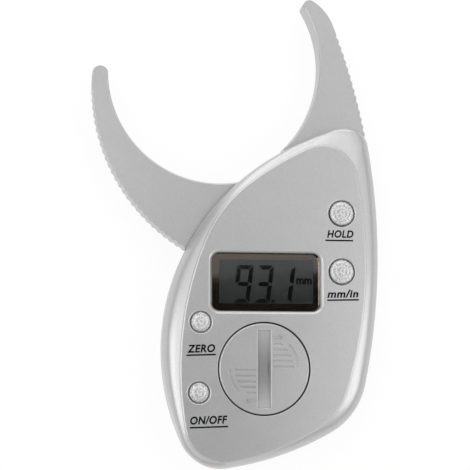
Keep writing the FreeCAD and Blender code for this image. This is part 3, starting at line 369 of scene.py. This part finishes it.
# %% Edges to soften
SHARP = math.radians(32.0)        # edges that turn more than this stay hard
SAME_PLANE = math.radians(0.6)    # triangles that turn less than this become one face
SAME_POINT_MM = 0.002
SEAM_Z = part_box("front_cover")[0].z
FLAT_MM, AT_SEAM_MM = 0.05, 0.02  # how level an edge is, and how near the seam
EDGES = {
    # piece: width of its softened edges and the height above which they are, in mm
    "battery_cover": (0.12, 0.0), "fixed_jaw": (0.1, 0.0), "moving_jaw": (0.15, 0.0),
    "front_cover": (0.22, 19.2), "back_cover": (0.22, 19.2),
    **{node: (0.15, 19.5) for node in KEYS},
}
# Edges shorter than this are merged. The grooves of the battery cover end in a few very short
# ones, over which a bevel would cross itself.
SHORTEST_MM = {"battery_cover": 0.03}
print("pieces with softened edges:", len(EDGES), "- seam at z", round(SEAM_Z / MM, 2), "mm")


# %% Joined and smoothed copies
def body_name(node):
    """The body that a CAD piece rides on."""
    return body_of(nodes[node])[0]


def mesh_of(name, shape):
    """Turns a bmesh into a mesh and frees it."""
    mesh = bpy.data.meshes.new(name)
    shape.to_mesh(mesh)
    shape.free()
    return mesh


def on_rim(edge, level_mm):
    """Whether an edge lies flat, above the given height or on the seam between the covers."""
    low, high = sorted(vertex.co.z for vertex in edge.verts)
    flat = high - low < FLAT_MM * MM
    return flat and (low > level_mm * MM or abs(low - SEAM_Z) < AT_SEAM_MM * MM)


def smooth_mesh(node, width_mm, level_mm):
    """A copy of a CAD mesh with its triangles joined and its hard and soft edges marked."""
    shape = bmesh.new()
    shape.from_mesh(nodes[node].data)
    shortest = SHORTEST_MM.get(node, 0.001) * MM
    bmesh.ops.remove_doubles(shape, verts=shape.verts, dist=SAME_POINT_MM * MM)
    bmesh.ops.dissolve_degenerate(shape, edges=shape.edges, dist=shortest)
    if width_mm:
        bmesh.ops.dissolve_limit(shape, angle_limit=SAME_PLANE, verts=shape.verts,
                                 edges=shape.edges, delimit={"NORMAL"})
    for face in shape.faces:
        face.smooth = True
    weight = shape.edges.layers.float.new("bevel_weight_edge")
    for edge in shape.edges:
        sharp = edge.calc_face_angle(math.pi) > SHARP
        soft = sharp and width_mm > 0 and on_rim(edge, level_mm)
        edge.smooth = soft or not sharp
        edge[weight] = 1.0 if soft else 0.0
    return mesh_of(node + "_skin", shape)


def joined_copy(node, material):
    """A smooth piece that stands for a CAD piece and rides on the same body."""
    width_mm, level_mm = EDGES.get(node, (0.0, 0.0))
    mesh = smooth_mesh(node, width_mm, level_mm)
    mesh.materials.append(material)
    skin = bpy.data.objects.new(node + "_skin", mesh)
    bpy.context.scene.collection.objects.link(skin)
    if width_mm:
        bevel = skin.modifiers.new("softened_edges", "BEVEL")
        bevel.width = width_mm * MM
        bevel.segments = 2
        bevel.limit_method = "WEIGHT"
        bevel.use_clamp_overlap = False
    weighted = skin.modifiers.new("weighted_normals", "WEIGHTED_NORMAL")
    weighted.mode = "FACE_AREA_WITH_ANGLE"
    weighted.keep_sharp = True
    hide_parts(node)
    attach(skin, body_name(node))
    return skin


# %% Dressed pieces
shown = {
    "front_cover": shell_paint, "back_cover": shell_paint, "battery_cover": cover_paint,
    "moving_jaw": jaw_paint, "fixed_jaw": jaw_paint,
    "display_lens": lens_glass, **key_paints,
}
skins = {node: joined_copy(node, material) for node, material in shown.items()}
for node, skin in skins.items():
    print(node, len(skin.data.vertices), "points")

# %% [markdown]
# ## The inner pieces
# These keep their CAD meshes. Several share a finish, so the table goes from finish to pieces.

# %% Inner pieces
def repaint(node, material):
    """Gives a CAD piece that stays as it is its own finish."""
    nodes[node].data.materials.clear()
    nodes[node].data.materials.append(material)


inside = {
    lcd_glass: ["lcd_panel"],
    white_nylon: ["lcd_frame"],
    black_nylon: ["cell_holder", "controller_chip"],
    elastomer: ["upper_zebra_strip", "lower_zebra_strip", "battery_seal"],
    laminate: ["circuit_board", "encoder_rotor"],
    turned_brass: ["pivot_bushing"],
    plated_steel: ["friction_washer", "pivot_washer", "pivot_screw", "case_screws", "jaw_screws",
                   "board_screws", "coin_cell", "negative_contact", "positive_contact",
                   "hold_switch", "units_switch", "zero_switch", "power_switch"],
}
for material, names in inside.items():
    for node in names:
        repaint(node, material)
print("inner pieces painted:", sum(len(names) for names in inside.values()))

# %% [markdown]
# ## Words beside the keys
# The words are printed, so they are flat: a film of ink 0.02 mm thick. Each is made as a text
# object, slanted and fattened a little as the real bold italic letters are, turned into a mesh
# and then moved to its place. Under each word runs a line with slightly rounded ends.

# %% Ink and letters
FACE_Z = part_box("battery_cover")[1].z
INK_Z = FACE_Z + 0.005 * MM
INK_THICK = 0.02 * MM
print("the printed face is at z", round(FACE_Z / MM, 2), "mm")


def finish_piece(name, mesh, material, body):
    """Makes a piece of a mesh, with one material, and lets it ride on a body."""
    piece = bpy.data.objects.new(name, mesh)
    bpy.context.scene.collection.objects.link(piece)
    mesh.materials.append(material)
    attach(piece, body)


def letters(name, words, width_mm, height_mm, slant, weight, spacing=1.0):
    """A mesh of the words, centred on the origin and drawn to the given size."""
    curve = bpy.data.curves.new(name, "FONT")
    curve.body = words
    curve.shear = slant
    curve.offset = weight
    curve.space_character = spacing
    curve.extrude = 0.01
    curve.resolution_u = 6
    text = bpy.data.objects.new(name + "_text", curve)
    bpy.context.scene.collection.objects.link(text)
    bpy.context.view_layer.update()
    evaluated = text.evaluated_get(bpy.context.evaluated_depsgraph_get())
    mesh = bpy.data.meshes.new_from_object(evaluated)
    bpy.data.objects.remove(text)
    corners = [vertex.co for vertex in mesh.vertices]
    low = Vector([min(corner[axis] for corner in corners) for axis in range(3)])
    high = Vector([max(corner[axis] for corner in corners) for axis in range(3)])
    size = high - low
    factors = (width_mm * MM / size.x, height_mm * MM / size.y, INK_THICK / size.z, 1)
    mesh.transform(Matrix.Translation(-(low + high) / 2))
    mesh.transform(Matrix.Diagonal(factors))
    return mesh


# %% [markdown]
# ## Thin flat shapes
# Lines, arrows, the segments of the digits and the mask of the lens are all flat shapes with
# a small thickness. Each starts as a rectangle, is cut or rounded while it is flat, because
# that is easier than on a solid, and is then extruded.

# %% Films and bars
def film_mesh(name, shape, thick=INK_THICK):
    """Gives a flat shape a thickness, by default that of a film of ink, and makes it a mesh."""
    raised = bmesh.ops.extrude_face_region(shape, geom=shape.faces[:])
    top = [item for item in raised["geom"] if isinstance(item, bmesh.types.BMVert)]
    bmesh.ops.translate(shape, vec=(0, 0, thick), verts=top)
    bmesh.ops.recalc_face_normals(shape, faces=shape.faces)
    return mesh_of(name, shape)


def rectangle(length, width):
    """A bmesh of one flat rectangle in the middle of the XY plane, in metres."""
    shape = bmesh.new()
    bmesh.ops.create_grid(shape, x_segments=1, y_segments=1, size=0.5)
    bmesh.ops.scale(shape, vec=(length, width, 1), verts=shape.verts)
    return shape


def bar_mesh(name, length_mm, width_mm, corner_mm, segments, thick=INK_THICK):
    """A thin flat bar whose corners are rounded or cut."""
    shape = rectangle(length_mm * MM, width_mm * MM)
    bmesh.ops.bevel(shape, geom=shape.verts[:], offset=corner_mm * MM, segments=segments,
                    affect="VERTICES", profile=0.5, material=-1)
    bmesh.ops.remove_doubles(shape, verts=shape.verts, dist=0.001 * MM)
    return film_mesh(name, shape, thick)


# %% Printed words
def at_mm(x, y, z=0.0, turn_degrees=0.0):
    """A matrix that turns a flat shape about Z and moves it to x and y in mm and z in metres."""
    turn = Matrix.Rotation(math.radians(turn_degrees), 4, "Z")
    return Matrix.Translation((x * MM, y * MM, z)) @ turn


WORD_SLANT, WORD_WEIGHT, WORD_SPACING = 0.2, 0.036, 1.09
LINE_WIDTH_MM, LINE_CORNER_MM = 0.52, 0.15
WORDS = {
    # words: centre x and y, width and height, tilt in degrees, then the line: its distance
    # down, how far it is moved sideways and how much longer it is than the word
    "HOLD": (21.85, -1.6, 9.1, 2.6, 0.0, 2.2, -0.4, 0.5),
    "mm/in": (22.55, -21.8, 10.7, 2.7, 1.3, 2.1, 0.0, 0.2),
    "ZERO": (-25.35, -40.4, 9.4, 2.7, 1.8, 2.1, -0.05, 0.4),
    "ON/OFF": (-22.75, -63.9, 12.4, 2.7, 1.8, 2.3, 0.0, 0.3),
}
for number, (words, (x, y, width, height, tilt, drop, aside, extra)) in enumerate(WORDS.items()):
    place = at_mm(x, y, INK_Z, tilt)
    word = letters("word_%d" % number, words, width, height, WORD_SLANT, WORD_WEIGHT, WORD_SPACING)
    word.transform(place)
    finish_piece("printed_word_%d" % number, word, label_ink, "housing")
    line = bar_mesh("line_%d" % number, width + extra, LINE_WIDTH_MM, LINE_CORNER_MM, 3)
    line.transform(place @ at_mm(aside, -drop))
    finish_piece("printed_line_%d" % number, line, label_ink, "housing")
    print("printed", words)

# %% [markdown]
# ## Arrows on the battery cover
# Beside each group of grooves a small raised arrow shows which way the cover turns: a thin bar
# with one slanted tick at its outer end. The second arrow is the first one turned half round.

# %% Raised arrows
ARROW_THICK = 0.22 * MM
ARROW_WIDTH_MM, ARROW_CORNER_MM = 0.42, 0.15
ARROW_SUNK = 0.01 * MM
ARROW_BARS = {
    # bar: length, place from the middle of the cover in x and y, and turn in degrees
    "shaft": (3.0, 4.4, 10.4, 0.0),
    "tick": (1.3, 5.6, 10.85, 125.0),
}
COVER_LOW, COVER_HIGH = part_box("battery_cover")
COVER_MIDDLE = (COVER_LOW + COVER_HIGH) / 2


def add_mesh(shape, mesh, matrix):
    """Moves a mesh to its place and adds it to a bmesh."""
    mesh.transform(matrix)
    shape.from_mesh(mesh)
    bpy.data.meshes.remove(mesh)


def arrow(name, turn_degrees):
    """One arrow, turned about the middle of the battery cover and sunk a hair into it."""
    shape = bmesh.new()
    for bar, (length, x, y, turn) in ARROW_BARS.items():
        mesh = bar_mesh(bar, length, ARROW_WIDTH_MM, ARROW_CORNER_MM, 2, ARROW_THICK)
        add_mesh(shape, mesh, at_mm(x, y, 0.0, turn))
    place = Matrix.Translation((COVER_MIDDLE.x, COVER_MIDDLE.y, FACE_Z - ARROW_SUNK))
    turned = place @ Matrix.Rotation(math.radians(turn_degrees), 4, "Z")
    bmesh.ops.transform(shape, matrix=turned, verts=shape.verts)
    finish_piece(name, mesh_of(name, shape), cover_paint, body_name("battery_cover"))


for name, turn_degrees in (("cover_arrow_upper", 0.0), ("cover_arrow_lower", 180.0)):
    arrow(name, turn_degrees)
print("arrows round", [round(value / MM, 2) for value in COVER_MIDDLE])

# %% [markdown]
# ## The display
# A full digit has seven segments with a hair of clear glass between them. The six outer ones
# are bars whose inner edge is shorter, so that they meet at mitred corners; the middle one is
# a bar with two pointed ends. The lower left one is dark in none of these digits, so it isn't
# drawn. The whole number leans a little, as the digits of such displays do. The segments sit
# on the glass, under the lens.

# %% Sizes of the digits
DIGIT_HEIGHT, DIGIT_WIDTH, STROKE, GAP = 12.7, 5.6, 1.4, 0.3
LEAN = math.tan(math.radians(7.5))
GLASS_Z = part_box("lcd_panel")[1].z + 0.004 * MM

DIGITS = {
    # piece: the segments that are dark and the middle of the digit
    "digit_tens": ("abcdfg", -10.95), "digit_units": ("abcdg", -4.0), "digit_tenths": ("bc", 3.3),
}
DIGIT_Y = -18.68
POINT_X, POINT_Y, POINT_MM, POINT_CORNER_MM = -0.9, -24.4, 1.2, 0.4
UNIT_X, UNIT_Y, UNIT_WIDTH, UNIT_HEIGHT, UNIT_WEIGHT = 9.75, -17.6, 5.3, 2.1, 0.04
POINTED = 0.49         # cut at a corner of the middle segment, as a share of the stroke
ACROSS, ALONG = (DIGIT_WIDTH - STROKE) / 2, (DIGIT_HEIGHT - STROKE) / 2
UPRIGHT = DIGIT_HEIGHT / 4
ACROSS_LENGTH, UPRIGHT_LENGTH = DIGIT_WIDTH - 2.4 * GAP, UPRIGHT * 2 - 1.6 * GAP
SEGMENT_PLACES = {
    # letter: middle of the segment, its turn, the length of its outer edge and its two cuts
    "a": (0, ALONG, 0, ACROSS_LENGTH, 0.9, 0.9),
    "d": (0, -ALONG, 180, ACROSS_LENGTH, 0.9, 0.9),
    "f": (-ACROSS, UPRIGHT, 90, UPRIGHT_LENGTH, 0.4, 0.9),
    "b": (ACROSS, UPRIGHT, -90, UPRIGHT_LENGTH, 0.9, 0.4),
    "c": (ACROSS, -UPRIGHT, -90, UPRIGHT_LENGTH, 0.4, 0.9),
}
print("a digit is", DIGIT_HEIGHT, "mm high and", DIGIT_WIDTH, "mm wide")


# %% Seven-segment digits
def mitred_bar(name, outer_mm, left_cut, right_cut):
    """A segment whose outer edge faces +Y; its inner edge is cut back, in shares of the stroke."""
    shape = rectangle(outer_mm * MM, STROKE * MM)
    for vertex in shape.verts:
        if vertex.co.y < 0:
            vertex.co.x += STROKE * MM * (left_cut if vertex.co.x < 0 else -right_cut)
    return film_mesh(name, shape)


def digit(name, dark, x, y):
    """A digit whose named segments are dark, leaning to the right."""
    shape = bmesh.new()
    for letter in dark:
        if letter == "g":
            length = DIGIT_WIDTH - STROKE - GAP
            add_mesh(shape, bar_mesh("middle", length, STROKE, STROKE * POINTED, 1), at_mm(0, 0))
            continue
        across, along, turn, *sizes = SEGMENT_PLACES[letter]
        add_mesh(shape, mitred_bar("bar", *sizes), at_mm(across, along, 0.0, turn))
    lean = Matrix.Identity(4)
    lean[0][1] = LEAN
    bmesh.ops.transform(shape, matrix=lean, verts=shape.verts)
    bmesh.ops.translate(shape, vec=(x * MM, y * MM, GLASS_Z), verts=shape.verts)
    finish_piece(name, mesh_of(name, shape), segment_ink, "housing")


for name, (dark, x) in DIGITS.items():
    digit(name, dark, x, DIGIT_Y)
point = bar_mesh("point", POINT_MM, POINT_MM, POINT_CORNER_MM, 3)
point.transform(at_mm(POINT_X, POINT_Y, GLASS_Z))
finish_piece("decimal_point", point, segment_ink, "housing")
unit = letters("unit", "mm", UNIT_WIDTH, UNIT_HEIGHT, 0.0, UNIT_WEIGHT)
unit.transform(at_mm(UNIT_X, UNIT_Y, GLASS_Z))
finish_piece("display_unit", unit, segment_ink, "housing")
print("digits stand at z", round(GLASS_Z / MM, 2), "mm")

# %% [markdown]
# ## The mask round the display
# A mask on the underside of the lens hides the edges of the glass. It is a smoked mirror film:
# dark and faintly brown by itself, it shows the lamp above as a pale band along its upper part
# and stays nearly black below, where it mirrors the dark top of the studio.

# %% Display mask
def smoked_mirror():
    """A mirror film with a brownish tint that varies a little."""
    material, tree, shader, place = new_material("smoked_mirror_film")
    cloud = add_node(tree, "ShaderNodeTexNoise", {
        "Vector": place, "Scale": per_metre(6.0), "Detail": 2.0})
    tint = add_node(tree, "ShaderNodeMix", {
        "Factor": cloud.outputs["Fac"], "A": linear("83776e"), "B": linear("8a857e")},
        data_type="RGBA")
    grain = add_node(tree, "ShaderNodeTexNoise", {"Vector": place, "Scale": per_metre(0.8)})
    bump = add_node(tree, "ShaderNodeBump", {
        "Height": grain.outputs["Fac"], "Strength": 0.05, "Distance": 0.02 * MM})
    tree.links.new(tint.outputs["Result"], shader.inputs["Base Color"])
    tree.links.new(bump.outputs["Normal"], shader.inputs["Normal"])
    shader.inputs["Metallic"].default_value = 0.97
    shader.inputs["Roughness"].default_value = 0.05
    return material


def mask_mesh(outer_low, outer_high, inner_low, inner_high, level):
    """A flat rectangular ring, inset from a plate whose middle is then taken out."""
    size, middle = outer_high - outer_low, (outer_high + outer_low) / 2
    shape = rectangle(size.x, size.y)
    bmesh.ops.translate(shape, vec=(middle.x, middle.y, 0), verts=shape.verts)
    rim = bmesh.ops.inset_region(shape, faces=shape.faces[:], thickness=1.0 * MM,
                                 use_boundary=True, use_even_offset=True)
    inner_face = [face for face in shape.faces if face not in rim["faces"]][0]
    for vertex in inner_face.verts:
        vertex.co.x = inner_low.x if vertex.co.x < middle.x else inner_high.x
        vertex.co.y = inner_low.y if vertex.co.y < middle.y else inner_high.y
    bmesh.ops.delete(shape, geom=[inner_face], context="FACES_ONLY")
    bmesh.ops.translate(shape, vec=(0, 0, level), verts=shape.verts)
    return film_mesh("lens_mask", shape)


CLEAR_LOW = Vector((-19.1, -25.2, 0)) * MM
CLEAR_HIGH = Vector((12.8, -10.5, 0)) * MM
lens_low, lens_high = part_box("display_lens")
mask = mask_mesh(lens_low, lens_high, CLEAR_LOW, CLEAR_HIGH, lens_low.z + INK_THICK)
finish_piece("lens_mask", mask, smoked_mirror(), "housing")
print("clear window in mm:", [round(value / MM, 1) for value in CLEAR_HIGH - CLEAR_LOW])

# %% [markdown]
# ## Studio
# The caliper lies on a white table inside a pale tent. The world and the floor show as white to
# the camera, while the lamps stay at a plain level, so the paint keeps its own grey.

# %% Floor
FLOOR_GLOW = 0.9       # share of plain white in the floor, for the camera and for reflections
FLOOR_DROP_MM = 0.02   # so that the table and the bottom of the housing don't share a plane


def studio_floor():
    """A white table that still takes the shadow of the caliper."""
    material, tree, shader, place = new_material("white_table")
    grain = add_node(tree, "ShaderNodeTexNoise", {"Vector": place, "Scale": per_metre(2.0)})
    bump = add_node(tree, "ShaderNodeBump", {"Height": grain.outputs["Fac"], "Strength": 0.02})
    tree.links.new(bump.outputs["Normal"], shader.inputs["Normal"])
    shader.inputs["Base Color"].default_value = linear("f2f2f2")
    shader.inputs["Roughness"].default_value = 0.8
    glow = add_node(tree, "ShaderNodeEmission", {"Color": (1, 1, 1, 1), "Strength": 1.0})
    path = add_node(tree, "ShaderNodeLightPath")
    direct = add_node(tree, "ShaderNodeMath", {
        0: path.outputs["Is Camera Ray"], 1: path.outputs["Is Glossy Ray"]}, operation="MAXIMUM")
    seen = add_node(tree, "ShaderNodeMath", {
        0: direct.outputs["Value"], 1: path.outputs["Is Transmission Ray"]}, operation="MAXIMUM")
    share = add_node(tree, "ShaderNodeMath", {
        0: seen.outputs["Value"], 1: FLOOR_GLOW}, operation="MULTIPLY")
    mixed = add_node(tree, "ShaderNodeMixShader", {
        "Fac": share.outputs["Value"], 1: shader.outputs["BSDF"], 2: glow.outputs["Emission"]})
    tree.links.new(mixed.outputs["Shader"], tree.nodes["Material Output"].inputs["Surface"])
    shape = bmesh.new()
    bmesh.ops.create_grid(shape, x_segments=4, y_segments=4, size=1.5)
    mesh = mesh_of("floor", shape)
    mesh.materials.append(material)
    floor = bpy.data.objects.new("floor", mesh)
    bpy.context.scene.collection.objects.link(floor)
    floor.location.z = -FLOOR_DROP_MM * MM
    floor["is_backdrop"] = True


studio_floor()
print("table laid", FLOOR_DROP_MM, "mm below the housing")

# %% World
TENT_LEVELS = [
    # sine of the height above the table and the brightness there
    (0.001, 0.50), (0.25, 0.60), (0.42, 1.05), (0.66, 1.0), (0.75, 0.90), (0.91, 0.90),
    (0.945, 0.02), (0.999, 0.01),
]


def soft_world():
    """A pale tent, dimmer near the table and dark overhead; the camera sees plain white."""
    world = bpy.data.worlds.new("soft_white")
    bpy.context.scene.world = world
    world.use_nodes = True
    tree = world.node_tree
    tree.nodes.clear()
    heading = add_node(tree, "ShaderNodeTexCoord").outputs["Object"]
    axes = add_node(tree, "ShaderNodeSeparateXYZ", {"Vector": heading})
    tent = add_node(tree, "ShaderNodeValToRGB", {"Fac": axes.outputs["Z"]})
    for position, level in TENT_LEVELS:
        element = tent.color_ramp.elements.new(position)
        element.color = (level, level, level, 1.0)
    tent.color_ramp.elements.remove(tent.color_ramp.elements[-1])
    tent.color_ramp.elements.remove(tent.color_ramp.elements[0])
    path = add_node(tree, "ShaderNodeLightPath")
    seen = add_node(tree, "ShaderNodeMix", {
        "Factor": path.outputs["Is Camera Ray"], "A": tent.outputs["Color"], "B": (1, 1, 1, 1)},
        data_type="RGBA")
    light = add_node(tree, "ShaderNodeBackground", {
        "Color": seen.outputs["Result"], "Strength": 1.0})
    output = add_node(tree, "ShaderNodeOutputWorld")
    tree.links.new(light.outputs["Background"], output.inputs["Surface"])


soft_world()
print("levels of the tent:", len(TENT_LEVELS))

# %% [markdown]
# ## Lamps
# Soft boxes stand round the table at the heights where the rounded shoulder and the bevels of
# the window can mirror them, and a long low one at the back lights the upper edge of the
# housing. One flat lamp hangs high over the jaws and faces down: the edge of it that is nearer
# to the housing draws the line across the mirror film. All their places and sizes are in mm.

# %% Lamps
def soft_box(name, place_mm, target_mm, width_mm, height_mm, radiance, turn_degrees=0.0):
    """A rectangular lamp; its power follows from its area and how bright its face looks."""
    lamp = bpy.data.lights.new(name, "AREA")
    lamp.shape = "RECTANGLE"
    lamp.size, lamp.size_y = width_mm * MM, height_mm * MM
    lamp.energy = radiance * math.pi * lamp.size * lamp.size_y
    item = bpy.data.objects.new(name, lamp)
    bpy.context.scene.collection.objects.link(item)
    place, target = Vector(place_mm) * MM, Vector(target_mm) * MM
    item.location = place
    item.rotation_euler = (target - place).to_track_quat("-Z", "Y").to_euler()
    item.rotation_euler.rotate_axis("Z", math.radians(turn_degrees))
    item.visible_camera = False


MIDDLE = Vector((-10.0, -5.0, 10.0))
LOW_BACK = MIDDLE + Vector((0.0, 640.0, 115.0))
LINE_PLACE = Vector((60.0, 274.0, 470.0))
BOX_DISTANCE, BOX_SIZE = 650.0, 300.0
BOXES = {
    # name: direction round the table and height above it in degrees, brightness
    "right_box": (345, 28, 1.15), "high_right_box": (345, 62, 1.45),
    "back_box": (90, 45, 0.6), "back_left_box": (120, 30, 0.8),
    "left_box": (186, 33, 1.35), "high_left_box": (180, 70, 2.15),
}
STRIPS = {
    # name: place, the point that it faces, width, height, brightness and turn in degrees
    "low_back_box": (LOW_BACK, MIDDLE, 900.0, 230.0, 1.3, 0.0),
    "line_box": (LINE_PLACE, LINE_PLACE * Vector((1, 1, 0)), 600.0, 500.0, 0.45, 3.35),
}
for name, (around, height, radiance) in BOXES.items():
    around, height = math.radians(around), math.radians(height)
    level = Vector((math.cos(around), math.sin(around), 0)) * math.cos(height)
    outward = level + Vector((0, 0, math.sin(height)))
    soft_box(name, MIDDLE + outward * BOX_DISTANCE, MIDDLE, BOX_SIZE, BOX_SIZE, radiance)
for name, settings in STRIPS.items():
    soft_box(name, *settings)
print("lamps:", len(BOXES) + len(STRIPS))

# %% [markdown]
# ## Camera
# The portrait is taken from a little below and to the left of the caliper's middle, half a
# metre above it, so the left side of the housing shows. The lens is a long one.

# %% Camera
CAMERA_PLACE = Vector((-80.26, -57.96, 507.0)) * MM
CAMERA_TARGET = Vector((-13.73, -2.19, 17.0)) * MM
VIEW_DEGREES = 18.04
SENSOR_MM = 36.0

camera_data = bpy.data.cameras.new("portrait")
camera_data.sensor_width = SENSOR_MM
camera_data.lens = SENSOR_MM / 2 / math.tan(math.radians(VIEW_DEGREES / 2))
camera_data.clip_start = 0.05
camera_data.clip_end = 5.0
camera = bpy.data.objects.new("portrait", camera_data)
bpy.context.scene.collection.objects.link(camera)
forward = (CAMERA_TARGET - CAMERA_PLACE).normalized()
right = forward.cross(Vector((0, 1, 0))).normalized()
upward = right.cross(forward)
turned = Matrix((right, upward, -forward)).transposed().to_4x4()
camera.matrix_world = Matrix.Translation(CAMERA_PLACE) @ turned
bpy.context.scene.camera = camera
bpy.context.scene.view_settings.view_transform = "Standard"
print("lens", round(camera_data.lens, 1), "mm")

# %% [markdown]
# ## Sizes and finish
# The box of the dressed caliper is printed and kept beside that of the CAD model. The two should
# agree, because finishes and trim don't change the size of the object.

# %% Sizes and finish
sizes = {"cad_box": cad_box, "visual_box": [list(corner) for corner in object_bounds()]}
in_mm = [[round(value / MM, 1) for value in corner] for corner in sizes["visual_box"]]
print("visual box in mm:", in_mm)
